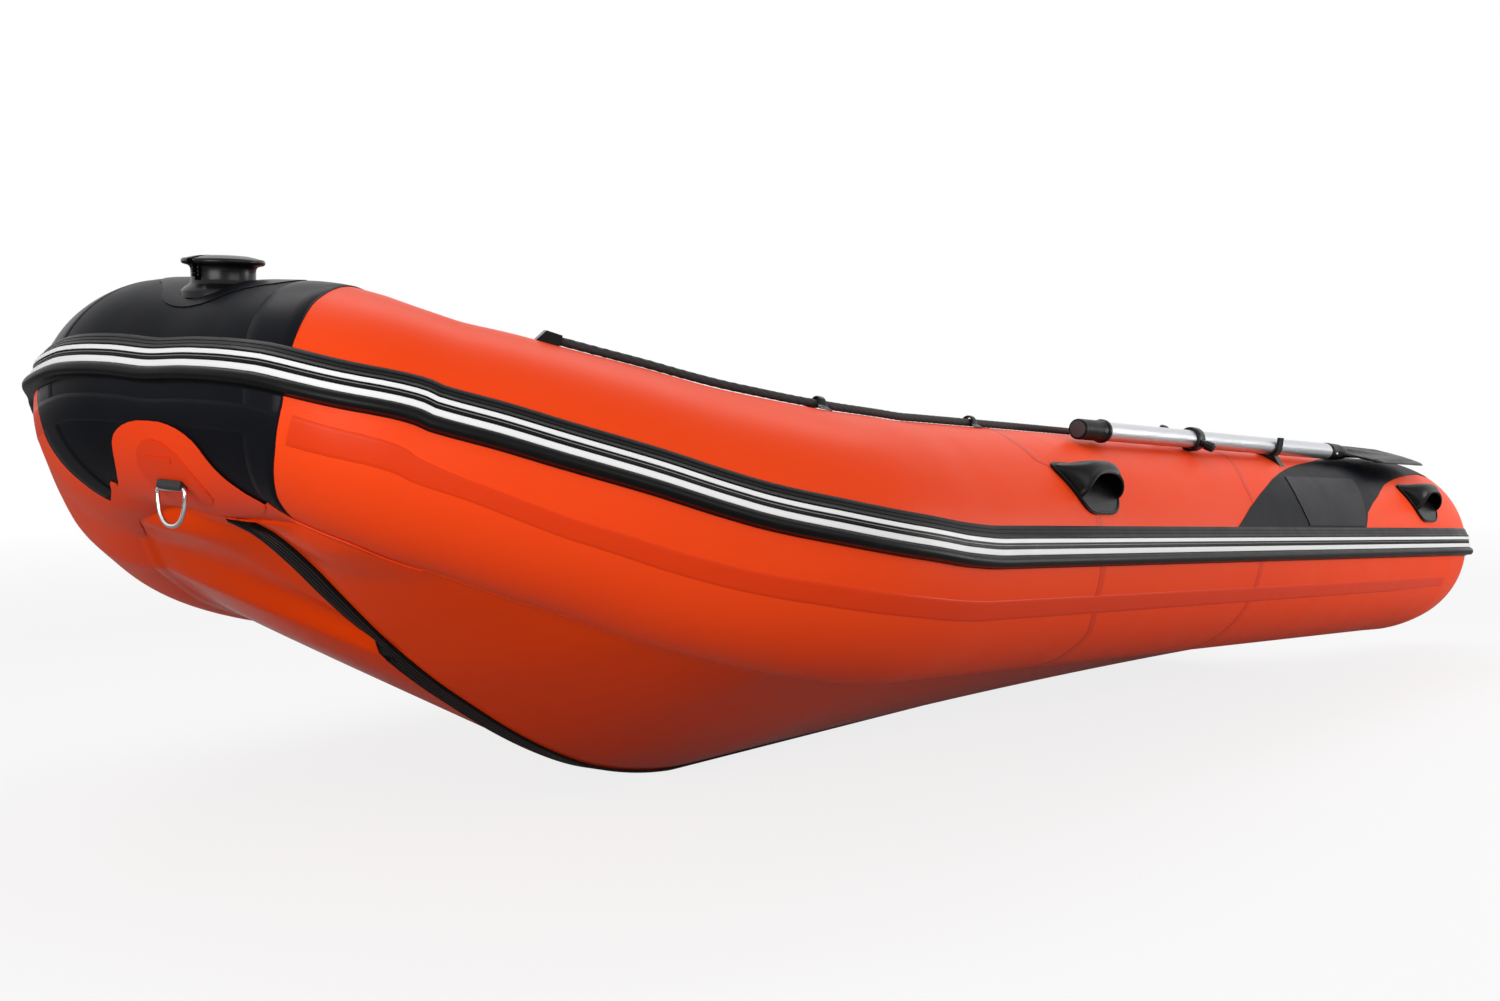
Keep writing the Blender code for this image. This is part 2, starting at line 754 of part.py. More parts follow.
def keel_height(x):
    """Height of the keel guard's underside."""
    straight = -KEEL_DROP_AT_ZERO - KEEL_SLOPE * x
    share = (x - FOREFOOT_START) / FOREFOOT_REACH
    if share <= 0:
        return straight
    return straight + FOREFOOT_RISE * smooth_share(FOREFOOT_SHARES, share)


def keel_point(x, lift):
    """Point of the middle plane a lift above the keel guard's underside, square to it."""
    reach = FOREFOOT_REACH / 200
    slope = (keel_height(x + reach) - keel_height(x - reach)) / (2 * reach)
    if x < FOREFOOT_START - reach:
        slope = -KEEL_SLOPE
    normal = Vector((-slope, 0, 1)).normalized()
    return Vector((x, 0, keel_height(x))) + normal * lift


def skin_places():
    """Pairs of a tube section and the keel's place that the bottom skin runs between."""
    pairs = []
    straight = spread(SKIN_START, FOREFOOT_START, SKIN_STRAIGHT_COUNT)
    for x in straight + [FOREFOOT_START + FOREFOOT_REACH * FOREFOOT_SHARES[2][0]]:
        station = Station(Vector((x, HALF_SPACING, 0)), TUBE_RADIUS, 0.0)
        station.aim(station.centre, station.centre + Vector((1, 0, 0)))
        pairs.append((station, x))
    pairs += [(s, s.centre.x) for s in BEND[:-5]]
    ends = [FOREFOOT_START + FOREFOOT_REACH * share for share in SKIN_END_SHARES]
    pairs += list(zip(BEND[-5:-1], ends))
    return pairs


SKIN_PLACES = skin_places()


def skin_section(station, keel_x):
    """Ring of the bottom skin: upper face from port to starboard, lower face back."""
    attach = SKIN_ANGLE_AFT + (SKIN_ANGLE_FORE - SKIN_ANGLE_AFT) * station.taper
    seat = seat_lift(SKIN_FLANGE_ANGLE, station.radius) + 2 * GAP * station.taper
    lowered = seat + SKIN_THICKNESS
    upper = [station.point(attach + SKIN_FLANGE_ANGLE, seat), station.point(attach, seat)]
    lower = [station.point(attach + SKIN_FLANGE_ANGLE, lowered), station.point(attach, lowered)]
    skin_low = GUARD_THICKNESS + GAP
    flat = Vector((0, GUARD_HALF_WIDTH, 0))
    upper_keel = keel_point(keel_x, skin_low + SKIN_THICKNESS) + flat
    lower_keel = keel_point(keel_x, skin_low) + flat
    upper += [upper[-1].lerp(upper_keel, share) for share in SKIN_ACROSS_SHARES] + [upper_keel]
    lower += [lower[-1].lerp(lower_keel, share) for share in SKIN_ACROSS_SHARES] + [lower_keel]
    upper += [Vector((p.x, -p.y, p.z)) for p in reversed(upper)]
    lower += [Vector((p.x, -p.y, p.z)) for p in reversed(lower)]
    return upper + list(reversed(lower))


def hull_skin():
    place("hull_skin", loft([skin_section(s, x) for s, x in SKIN_PLACES]), "orange_pvc")


def keel_guard():
    """Chafing strip under the keel, from the transom to the ring patch."""
    low = GUARD_HALF_WIDTH - GUARD_CHAMFER
    rings = []
    for x in [x for _, x in SKIN_PLACES] + [FOREFOOT_END]:
        base = keel_point(x, 0)
        top = keel_point(x, GUARD_THICKNESS)
        edge = keel_point(x, GUARD_THICKNESS - GUARD_CHAMFER)
        section = [(top, GUARD_HALF_WIDTH), (edge, GUARD_HALF_WIDTH), (base, low)]
        port = [centre + Vector((0, half, 0)) for centre, half in section]
        starboard = [Vector((p.x, -p.y, p.z)) for p in reversed(port)]
        rings.append(port + starboard)
    place("keel_guard", loft(rings), "black_rubber")


def transom():
    """Plywood board between the tubes, notched for a motor, with the drain's hole."""
    attach = 180 + 180 + SKIN_ANGLE_AFT
    skin_top = keel_point(TRANSOM_FACE, GUARD_THICKNESS + GAP + SKIN_THICKNESS)
    tube_foot = on_tube(TRANSOM_FACE, attach, seat_lift(SKIN_FLANGE_ANGLE))
    low = Vector((GUARD_HALF_WIDTH, skin_top.z + 2 * GAP))
    end = Vector((tube_foot.y, tube_foot.z + 2 * GAP))
    corner = end + (low - end).normalized() * TRANSOM_CORNER
    top_angle = 180 - degrees(asin(TRANSOM_TOP / TUBE_RADIUS))
    first = attach - degrees(TRANSOM_CORNER / TUBE_RADIUS) * TRANSOM_CORNER_SHARE
    angles = spread(first, top_angle, TRANSOM_EDGE_POINTS)
    lift = seat_lift(angles[0] - angles[1])
    edge = [on_tube(0, a, lift) for a in angles]
    port = [(low.x, low.y), (corner.x, corner.y)] + [(p.y, p.z) for p in edge]
    port += [(NOTCH_HALF_WIDTH + NOTCH_SLANT, port[-1][1]), (NOTCH_HALF_WIDTH, NOTCH_HEIGHT)]
    outline = port + [(-y, z) for y, z in reversed(port)]
    board = plate(outline, TRANSOM_THICKNESS, across_hull(TRANSOM_FACE + TRANSOM_THICKNESS / 2))
    hole_radius = DRAIN_TUBE_RADIUS + GAP
    reach = TRANSOM_THICKNESS + CUT_OVERRUN
    hole = turned(
        [(0, reach), (hole_radius, reach), (hole_radius, -CUT_OVERRUN), (0, -CUT_OVERRUN)],
        turned_axes(drain_place(), (1, 0, 0)),
    )
    board = combined(board, [hole], "DIFFERENCE")
    place("transom", board, "marine_plywood", smooth=False)


def drain_place():
    """Middle of the drain on the transom's outer face."""
    keel_top = keel_point(TRANSOM_FACE, STACK)
    return Vector((TRANSOM_FACE, DRAIN_OFFSET, keel_top.z + DRAIN_HEIGHT))


def motor_plate():
    """Chamfered plate on the transom's outer face, under the notch."""
    top = NOTCH_HEIGHT - MOTOR_PLATE_DROP
    low = top - MOTOR_PLATE_HEIGHT
    half = MOTOR_PLATE_HALF_WIDTH
    cut = MOTOR_PLATE_CHAMFER
    port = [(half - cut, low), (half, low + cut), (half, top - cut), (half - cut, top)]
    outline = port + [(-y, z) for y, z in reversed(port)]
    x = TRANSOM_FACE - GAP - MOTOR_PLATE_THICKNESS / 2
    mesh = plate(outline, MOTOR_PLATE_THICKNESS, across_hull(x))
    place("motor_plate", mesh, "black_plastic", smooth=False)


def drain():
    """Drain tube with a flange inside the boat, and the cap that closes it from outside."""
    tube_end = TRANSOM_THICKNESS + GAP + DRAIN_FLANGE_THICKNESS
    body = [
        (0, tube_end),
        (DRAIN_FLANGE_RADIUS, tube_end),
        (DRAIN_FLANGE_RADIUS, TRANSOM_THICKNESS + GAP),
        (DRAIN_TUBE_RADIUS, TRANSOM_THICKNESS + GAP),
        (DRAIN_TUBE_RADIUS, 0),
        (DRAIN_BOSS_RADIUS, 0),
        (DRAIN_BOSS_RADIUS, -DRAIN_BOSS_LENGTH),
        (0, -DRAIN_BOSS_LENGTH),
    ]
    axes = turned_axes(drain_place(), (1, 0, 0))
    place("drain_body", turned(body, axes), "black_plastic", drain_place())
    bottom = -DRAIN_BOSS_LENGTH - GAP
    end = bottom - DRAIN_CAP_WALL
    cap = [
        (0, bottom),
        (DRAIN_BOSS_RADIUS + GAP, bottom),
        (DRAIN_BOSS_RADIUS + GAP, -GAP),
        (DRAIN_CAP_RADIUS, -GAP),
        (DRAIN_CAP_RADIUS, end),
        (0, end),
    ]
    cap = turned(cap, axes)
    x, y, z = drain_place()
    grip = block(
        (x + end - DRAIN_GRIP_LENGTH, y - DRAIN_GRIP_WIDTH / 2, z - DRAIN_CAP_RADIUS + DRAIN_CAP_WALL),
        (x + end + DRAIN_CAP_WALL / 2, y + DRAIN_GRIP_WIDTH / 2, z + DRAIN_CAP_RADIUS - DRAIN_CAP_WALL),
    )
    place("drain_cap", combined(cap, [grip], "UNION"), "black_plastic", drain_place())


STRINGER_TOP = FLOOR_TOP + GAP + STRINGER_WALL
STRINGER_OUT = HALF_SPACING - sqrt((TUBE_RADIUS + GAP) ** 2 - STRINGER_TOP ** 2)
FLOOR_HALF_WIDTH = STRINGER_OUT - STRINGER_WALL - GAP
FLOOR_BOTTOM = FLOOR_TOP - FLOOR_THICKNESS


def floor():
    """Floorboards end to end, the last one tapering into the bow, clasped by a stringer on each side."""
    x = FLOOR_START
    for i, length in enumerate(FLOOR_BOARD_LENGTHS):
        start, stop = x + GAP / 2, x + length - GAP / 2
        port = [(start, FLOOR_HALF_WIDTH), (stop, FLOOR_HALF_WIDTH)]
        if stop > FLOOR_TAPER_START:
            port[1] = (FLOOR_TAPER_START, FLOOR_HALF_WIDTH)
            port.append((stop, FLOOR_BOW_HALF_WIDTH))
        outline = port + [(px, -py) for px, py in reversed(port)]
        middle = (0, 0, (FLOOR_TOP + FLOOR_BOTTOM) / 2)
        board = plate(outline, FLOOR_THICKNESS, Matrix.Translation(middle))
        if start < KEEL_VALVE_X < stop:
            radius = KEEL_VALVE_RADIUS + KEEL_VALVE_CLEARANCE
            hole = [
                (0, FLOOR_TOP + CUT_OVERRUN),
                (radius, FLOOR_TOP + CUT_OVERRUN),
                (radius, FLOOR_BOTTOM - CUT_OVERRUN),
                (0, FLOOR_BOTTOM - CUT_OVERRUN),
            ]
            hole = turned(hole, Matrix.Translation((KEEL_VALVE_X, 0, 0)))
            board = combined(board, [hole], "DIFFERENCE")
        place("floorboard_" + "abc"[i], board, "floor_plywood", smooth=False)
        x += length
    under = FLOOR_BOTTOM - GAP - STRINGER_WALL
    inner = STRINGER_OUT - STRINGER_FLANGE
    web = STRINGER_OUT - STRINGER_WALL
    channel = [
        (inner, STRINGER_TOP),
        (inner, FLOOR_TOP + GAP),
        (web, FLOOR_TOP + GAP),
        (web, FLOOR_BOTTOM - GAP),
        (inner, FLOOR_BOTTOM - GAP),
        (inner, under),
        (STRINGER_OUT, under),
        (STRINGER_OUT, STRINGER_TOP),
    ]
    mesh = plate(channel, STRINGER_LENGTH, across_hull(STRINGER_START + STRINGER_LENGTH / 2))
    both_sides("stringer", mesh, "brushed_aluminium")


def keel_tube_middle(x):
    """Middle height and half height of the inflatable keel between the floor and the skin."""
    skin_top = keel_point(x, STACK).z
    half = (FLOOR_BOTTOM - skin_top - KEEL_TUBE_CLEARANCE) / 2
    return FLOOR_BOTTOM - GAP - half, half


def keel_tube():
    """Inflatable keel in the bottom's V under the floor, and its valve under a hole in the floor."""
    places = [(KEEL_TUBE_START + KEEL_TUBE_ROUND * s, size) for s, size in KEEL_END_SHARES]
    places += [(x, 1) for _, x in SKIN_PLACES[1:] if x < KEEL_TUBE_END - KEEL_TUBE_ROUND]
    places += [(KEEL_TUBE_END - KEEL_TUBE_ROUND * s, size) for s, size in reversed(KEEL_END_SHARES)]
    rings = []
    for x, size in places:
        middle, half = keel_tube_middle(x)
        ring = []
        for i in range(KEEL_TUBE_SIDES):
            a = 2 * pi * i / KEEL_TUBE_SIDES
            across = KEEL_TUBE_WIDTH_SHARE * half * size * sin(a)
            ring.append((x, across, middle + half * size * cos(a)))
        rings.append(ring)
    place("keel_tube", loft(rings), "black_pvc")
    foot = FLOOR_BOTTOM - GAP - KEEL_VALVE_HEIGHT / 2
    valve = [
        (0, foot + KEEL_VALVE_HEIGHT),
        (KEEL_VALVE_RADIUS - GUARD_CHAMFER, foot + KEEL_VALVE_HEIGHT),
        (KEEL_VALVE_RADIUS, foot + KEEL_VALVE_HEIGHT - GUARD_CHAMFER),
        (KEEL_VALVE_RADIUS, foot),
        (0, foot),
    ]
    valve = turned(valve, Matrix.Translation((KEEL_VALVE_X, 0, 0)))
    lifted = [[(x, y, z + 2 * GAP) for x, y, z in ring] for ring in rings]
    place("valve_keel", combined(valve, [loft(lifted)], "DIFFERENCE"), "black_plastic")


TRACK_WAY = tube_way(TRACK_ANGLE)
TRACK_BEAD = Vector((0, HALF_SPACING, 0)) + TRACK_WAY * (TUBE_RADIUS + GAP + TRACK_BEAD_HEIGHT)


def seat_tracks():
    """Bolt-rope track on each tube: a base that follows the tube, a web and a round bead."""
    wide = degrees(TRACK_BASE_HALF_WIDTH / TUBE_RADIUS)
    seat = seat_lift(2 * wide / (TRACK_SEAT_POINTS - 1))
    web_angle = degrees(TRACK_WEB_HALF / TUBE_RADIUS)
    seated = spread(TRACK_ANGLE - wide, TRACK_ANGLE + wide, TRACK_SEAT_POINTS)
    outline = [on_tube(0, a, seat) for a in seated]
    outline.append(on_tube(0, TRACK_ANGLE + wide - web_angle, seat + TRACK_BASE_THICKNESS))
    outline.append(on_tube(0, TRACK_ANGLE + web_angle, seat + TRACK_BASE_THICKNESS))
    neck = degrees(asin(TRACK_WEB_HALF / TRACK_BEAD_RADIUS))
    start = TRACK_ANGLE + 180 - neck
    bead = arc((TRACK_BEAD.y, TRACK_BEAD.z), TRACK_BEAD_RADIUS, start, start - 360 + 2 * neck, 11)
    outline = [(p.y, p.z) for p in outline] + bead
    outline.append(tuple(on_tube(0, TRACK_ANGLE - web_angle, seat + TRACK_BASE_THICKNESS).yz))
    outline.append(tuple(on_tube(0, TRACK_ANGLE - wide + web_angle, seat + TRACK_BASE_THICKNESS).yz))
    mesh = plate(outline, TRACK_LENGTH, across_hull(TRACK_START + TRACK_LENGTH / 2))
    both_sides("seat_rail", mesh, "black_rubber")


FACET_SAG = TUBE_RADIUS * (1 - cos(pi / TUBE_SIDES))
BENCH_REST = TUBE_RADIUS + GAP - FACET_SAG
BENCH_BOTTOM = sqrt(BENCH_REST ** 2 - (HALF_SPACING - BENCH_HALF_LENGTH) ** 2)


def benches():
    """Seat boards across the tubes; the hooks under their ends clasp the tracks' beads."""
    inner = TRACK_BEAD_RADIUS + HOOK_CLEARANCE
    outer = inner + HOOK_WALL
    centre = (TRACK_BEAD.y, TRACK_BEAD.z)
    mouth = TRACK_ANGLE + 180
    first = mouth - HOOK_MOUTH_ANGLE
    last = mouth + HOOK_MOUTH_ANGLE - 360
    outboard = arc(centre, outer, 45, last, 3)
    hollow = arc(centre, inner, last, first, 9)
    inboard = arc(centre, outer, first, 135, 5)
    hook = outboard + hollow + inboard
    top = BENCH_BOTTOM + BENCH_THICKNESS
    port = [(BENCH_HALF_LENGTH, top), (BENCH_HALF_LENGTH, BENCH_BOTTOM)]
    port += [(hook[0][0], BENCH_BOTTOM), *hook, (hook[-1][0], BENCH_BOTTOM)]
    outline = port + [(-y, z) for y, z in reversed(port)]
    for name, x in (("bench_aft", BENCH_AFT_X), ("bench_fore", BENCH_FORE_X)):
        middle = x + BENCH_WIDTH / 2
        board = plate(outline, BENCH_WIDTH, across_hull(middle))
        place(name, board, "marine_plywood", (middle, 0, BENCH_BOTTOM), smooth=False)


OAR_LINE = Vector((0, HALF_SPACING + OAR_OUT, OAR_UP))
SWIVEL_WAY = tube_way(SWIVEL_LEAN)
SWIVEL_OUT = Vector((0, SWIVEL_WAY.z, -SWIVEL_WAY.y))
LOCK_OUT = (OAR_LINE - Vector((0, HALF_SPACING, 0))).dot(SWIVEL_OUT) - LOCK_REACH
LOCK_HEIGHT = sqrt((TUBE_RADIUS + LOCK_HINGE_RISE) ** 2 - LOCK_OUT ** 2)
HINGE = Vector((OAR_COLLAR_X, HALF_SPACING, 0)) + SWIVEL_OUT * LOCK_OUT + SWIVEL_WAY * LOCK_HEIGHT
HINGE_ANGLE = degrees(asin(HINGE.z / (TUBE_RADIUS + LOCK_HINGE_RISE)))


def oar_point(x):
    return Vector((x, OAR_LINE.y, OAR_LINE.z))


def oar_shaft():
    """Tube with plugs of a smaller radius at both ends, which the grip and the blade sit on."""
    blade_joint = OAR_BLADE_START
    grip_joint = OAR_GRIP_END - OAR_GRIP_LENGTH
    radius = SHAFT_RADIUS
    profile = [
        (0, grip_joint + OAR_PLUG_LENGTH),
        (OAR_PLUG_RADIUS, grip_joint + OAR_PLUG_LENGTH),
        (OAR_PLUG_RADIUS, grip_joint),
        (radius, grip_joint),
        (radius, blade_joint),
        (OAR_PLUG_RADIUS, blade_joint),
        (OAR_PLUG_RADIUS, blade_joint - OAR_PLUG_LENGTH + BLADE_THICKNESS),
        (0, blade_joint - OAR_PLUG_LENGTH + BLADE_THICKNESS),
    ]
    mesh = turned(profile, turned_axes(oar_point(0), (1, 0, 0)))
    both_sides("oar_shaft", mesh, "brushed_aluminium", HINGE)


def oar_grip():
    """Grip that caps the shaft's fore end, with a flared ring at its aft end."""
    start = OAR_GRIP_END - OAR_GRIP_LENGTH + GAP
    socket = OAR_GRIP_END - OAR_GRIP_LENGTH + OAR_PLUG_LENGTH + GAP
    bore = OAR_PLUG_RADIUS + GAP
    profile = [
        (0, OAR_GRIP_END),
        (GRIP_RADIUS - GUARD_CHAMFER, OAR_GRIP_END),
        (GRIP_RADIUS, OAR_GRIP_END - GUARD_CHAMFER),
        (GRIP_RADIUS, start + 2 * GRIP_RING_LENGTH),
        (GRIP_RING_RADIUS, start + GRIP_RING_LENGTH),
        (GRIP_RING_RADIUS, start),
        (bore, start),
        (bore, socket),
        (0, socket),
    ]
    mesh = turned(profile, turned_axes(oar_point(0), (1, 0, 0)))
    both_sides("oar_grip", mesh, "black_rubber", HINGE)


def blade_outline():
    """Half outline of the blade from its neck to its rounded tip, as (aft, across)."""
    length = OAR_BLADE_START - OAR_BLADE_TIP
    rounded = arc((length - BLADE_TIP_ROUND, BLADE_HALF_WIDTH - BLADE_TIP_ROUND), BLADE_TIP_ROUND, 90, 0, 5)
    return [(BLADE_NECK_LENGTH, BLADE_NECK_RADIUS / 2), (BLADE_SHOULDER, BLADE_HALF_WIDTH)] + rounded


def oar_blade():
    """Flat blade in the plane that lies on the tube, with a round neck over the shaft's plug."""
    half = blade_outline()
    outline = half + [(aft, -across) for aft, across in reversed(half)]
    lying = tube_way(OAR_ANGLE)
    across = Vector((0, lying.z, -lying.y))
    origin = oar_point(OAR_BLADE_START)
    flat = plate(outline, BLADE_THICKNESS, axes_at(origin, (-1, 0, 0), across))
    bore = OAR_PLUG_RADIUS + GAP
    depth = OAR_PLUG_LENGTH - BLADE_THICKNESS + GAP
    neck = [
        (0, -2 * BLADE_NECK_LENGTH),
        (BLADE_THICKNESS / 3, -2 * BLADE_NECK_LENGTH),
        (BLADE_NECK_RADIUS, -BLADE_NECK_LENGTH),
        (BLADE_NECK_RADIUS, -GAP),
        (bore, -GAP),
        (bore, -depth),
        (0, -depth),
    ]
    neck = turned(neck[::-1], turned_axes(origin, (1, 0, 0)))
    both_sides("oar_blade", combined(neck, [flat], "UNION"), "black_plastic", HINGE)


def oarlock_base():
    """Pad glued to the tube with two ears for the hinge."""
    low, high = HINGE_ANGLE - LOCK_PAD_OUT_ANGLE, HINGE_ANGLE + LOCK_PAD_IN_ANGLE
    seat = seat_lift((high - low) / (LOCK_PAD_POINTS - 1))
    angles = spread(low, high, LOCK_PAD_POINTS)
    outline = [on_tube(0, a, seat) for a in angles]
    outline += [on_tube(0, a, seat + LOCK_PAD_THICKNESS) for a in reversed(angles)]
    pad = plate([tuple(p.yz) for p in outline], 2 * LOCK_PAD_HALF_LENGTH, across_hull(OAR_COLLAR_X))
    inner = LOCK_KNUCKLE_HALF + LOCK_EAR_CLEARANCE
    ears = []
    for side in (-1, 1):
        centre = (HINGE.y, HINGE.z)
        foot = on_tube(0, HINGE_ANGLE, seat + LOCK_PAD_THICKNESS / 2)
        turn = HINGE_ANGLE - 90
        shape = arc(centre, LOCK_EAR_RADIUS, turn, turn + 180, 9)
        way = tube_way(HINGE_ANGLE)
        out = Vector((0, way.z, -way.y))
        shape += [tuple((foot - out * LOCK_EAR_RADIUS).yz), tuple((foot + out * LOCK_EAR_RADIUS).yz)]
        x = OAR_COLLAR_X + side * (inner + LOCK_EAR_THICKNESS / 2)
        ears.append(plate(shape, LOCK_EAR_THICKNESS, across_hull(x)))
    base = combined(pad, ears, "UNION")
    bore = LOCK_AXLE_RADIUS + GAP
    reach = inner + LOCK_EAR_THICKNESS + CUT_OVERRUN
    hole = turned(
        [(0, reach), (bore, reach), (bore, -reach), (0, -reach)],
        turned_axes(HINGE, (1, 0, 0)),
        SMALL_TURN_STEPS,
    )
    both_sides("oarlock_base", combined(base, [hole], "DIFFERENCE"), "black_plastic", HINGE)


def oarlock_yoke():
    """Knuckle on the hinge's axle with the swivel pin and its cap."""
    reach = LOCK_KNUCKLE_HALF + LOCK_EAR_CLEARANCE + LOCK_EAR_THICKNESS
    profile = [
        (0, reach),
        (LOCK_AXLE_RADIUS, reach),
        (LOCK_AXLE_RADIUS, LOCK_KNUCKLE_HALF),
        (LOCK_KNUCKLE_RADIUS, LOCK_KNUCKLE_HALF),
        (LOCK_KNUCKLE_RADIUS, -LOCK_KNUCKLE_HALF),
        (LOCK_AXLE_RADIUS, -LOCK_KNUCKLE_HALF),
        (LOCK_AXLE_RADIUS, -reach),
        (0, -reach),
    ]
    knuckle = turned(profile, turned_axes(HINGE, (1, 0, 0)), SMALL_TURN_STEPS)
    eye_top = LOCK_SHOULDER + GAP + LOCK_EYE_HEIGHT
    cap_low = eye_top + GAP
    cap_top = cap_low + LOCK_CAP_HEIGHT
    pin = [
        (0, cap_top),
        (LOCK_CAP_RADIUS / 2, cap_top),
        (LOCK_CAP_RADIUS, cap_low + LOCK_CAP_HEIGHT / 3),
        (LOCK_CAP_RADIUS, cap_low),
        (LOCK_PIN_RADIUS, cap_low),
        (LOCK_PIN_RADIUS, LOCK_SHOULDER),
        (LOCK_KNUCKLE_RADIUS, LOCK_SHOULDER),
        (LOCK_KNUCKLE_RADIUS, LOCK_KNUCKLE_RADIUS / 2),
        (0, LOCK_KNUCKLE_RADIUS / 2),
    ]
    pin = turned(pin, turned_axes(HINGE, SWIVEL_WAY), SMALL_TURN_STEPS)
    both_sides("oarlock_yoke", combined(knuckle, [pin], "UNION"), "black_plastic", HINGE)


EYE_LOW = LOCK_SHOULDER + GAP
COLLAR_RADIUS = SHAFT_RADIUS + GAP + COLLAR_WALL


def oar_collar():
    """Ring clamped round the shaft, with an arm to the eye on the swivel pin and a boss for the knob."""
    bore = SHAFT_RADIUS + GAP
    half = COLLAR_HALF_LENGTH
    middle = oar_point(OAR_COLLAR_X)
    ring = turned(
        [(COLLAR_RADIUS, half), (COLLAR_RADIUS, -half), (bore, -half), (bore, half)],
        turned_axes(middle, (1, 0, 0)),
        closed=True,
    )
    eye_top = EYE_LOW + LOCK_EYE_HEIGHT
    eye = turned(
        [(0, eye_top), (LOCK_EYE_RADIUS, eye_top), (LOCK_EYE_RADIUS, EYE_LOW), (0, EYE_LOW)],
        turned_axes(HINGE, SWIVEL_WAY),
    )
    arm_end = LOCK_REACH - bore - COLLAR_WALL / 6
    arm = block((-COLLAR_ARM_HALF, 0, EYE_LOW + GAP), (COLLAR_ARM_HALF, arm_end, eye_top - GAP))
    frame = Matrix((
        (1, SWIVEL_OUT.x, SWIVEL_WAY.x, HINGE.x),
        (0, SWIVEL_OUT.y, SWIVEL_WAY.y, HINGE.y),
        (0, SWIVEL_OUT.z, SWIVEL_WAY.z, HINGE.z),
        (0, 0, 0, 1),
    ))
    arm.transform(frame)
    boss_foot = COLLAR_RADIUS - COLLAR_WALL / 2
    boss = turned(
        [(0, KNOB_SEAT), (KNOB_BOSS_RADIUS, KNOB_SEAT), (KNOB_BOSS_RADIUS, boss_foot), (0, boss_foot)],
        turned_axes(middle, SWIVEL_OUT),
        SMALL_TURN_STEPS,
    )
    body = combined(ring, [arm, eye, boss], "UNION")
    pin_bore = LOCK_PIN_RADIUS + GAP
    pin_hole = turned(
        [
            (0, eye_top + CUT_OVERRUN),
            (pin_bore, eye_top + CUT_OVERRUN),
            (pin_bore, EYE_LOW - CUT_OVERRUN),
            (0, EYE_LOW - CUT_OVERRUN),
        ],
        turned_axes(HINGE, SWIVEL_WAY),
        SMALL_TURN_STEPS,
    )
    both_sides("oar_collar", combined(body, [pin_hole], "DIFFERENCE"), "black_plastic", HINGE)


KNOB_SEAT = COLLAR_RADIUS + KNOB_BOSS_LENGTH


def oar_knob():
    """Fluted barrel that tightens the collar."""
    axes = turned_axes(oar_point(OAR_COLLAR_X), SWIVEL_OUT)
    rings = []
    start = KNOB_SEAT + GAP
    rounded = ((0, 0.80), (0.12, 1), (0.80, 1), (1, 0.62))
    count = 2 * KNOB_FLUTES
    for length_share, radius_share in rounded:
        ring = []
        for i in range(count):
            flute = KNOB_FLUTE_SHARE if i % 2 else 1
            radius = KNOB_RADIUS * radius_share * flute
            a = 2 * pi * i / count
            height = start + KNOB_LENGTH * length_share
            ring.append(axes @ Vector((radius * cos(a), radius * sin(a), height)))
        rings.append(ring)
    both_sides("oar_knob", loft(rings), "black_plastic", oar_point(OAR_COLLAR_X))


def oar_clip():
    """Open cradle on a foot that follows the tube; its outboard horn is the taller one."""
    centre = (OAR_LINE.y, OAR_LINE.z)
    inner = SHAFT_RADIUS + CLIP_CLEARANCE
    outer = inner + CLIP_WALL
    step = (CLIP_FOOT_IN_ANGLE - CLIP_FOOT_OUT_ANGLE) / (CLIP_FOOT_POINTS - 1)
    seat = seat_lift(step)
    seated = spread(CLIP_FOOT_OUT_ANGLE, CLIP_FOOT_IN_ANGLE, CLIP_FOOT_POINTS)
    foot = [on_tube(0, a, seat) for a in seated]
    toe_in = on_tube(0, CLIP_FOOT_IN_ANGLE - step / 2, seat + CLIP_FOOT_THICKNESS)
    toe_out = on_tube(0, CLIP_FOOT_OUT_ANGLE + step / 2, seat + CLIP_FOOT_THICKNESS)
    outline = [tuple(p.yz) for p in foot]
    outline.append(tuple(toe_in.yz))
    outline += arc(centre, outer, 222, 180, 3)
    outline.append((centre[0] - outer - CLIP_FLARE / 2, centre[1] + CLIP_HORN_IN))
    outline.append((centre[0] - inner - CLIP_FLARE / 2, centre[1] + CLIP_HORN_IN))
    outline += arc(centre, inner, 180, 360, 11)
    outline.append((centre[0] + inner + CLIP_FLARE / 2, centre[1] + CLIP_HORN_OUT))
    outline.append((centre[0] + outer + CLIP_FLARE / 2, centre[1] + CLIP_HORN_OUT))
    outline += arc(centre, outer, 360, 305, 4)
    outline.append(tuple(toe_out.yz))
    mesh = plate(outline, 2 * CLIP_HALF_LENGTH, across_hull(OAR_CLIP_X))
    both_sides("oar_clip", mesh, "black_plastic")


def bend_station(reach_share):
    """Section at a share of the bow's reach; shares below zero lie on the straight tube."""
    x = STRAIGHT_LENGTH + BOW_REACH * reach_share
    if reach_share <= 0:
        station = Station(Vector((x, HALF_SPACING, 0)), TUBE_RADIUS, 0.0)
        station.aim(station.centre, station.centre + Vector((1, 0, 0)))
        return station
    for first, second in zip(BEND, BEND[1:]):
        if first.centre.x <= x < second.centre.x:
            break
    share = (x - first.centre.x) / (second.centre.x - first.centre.x)
    return between(first, second, share)


ROPE_HEIGHT = ROPE_RADIUS + 3 * GAP


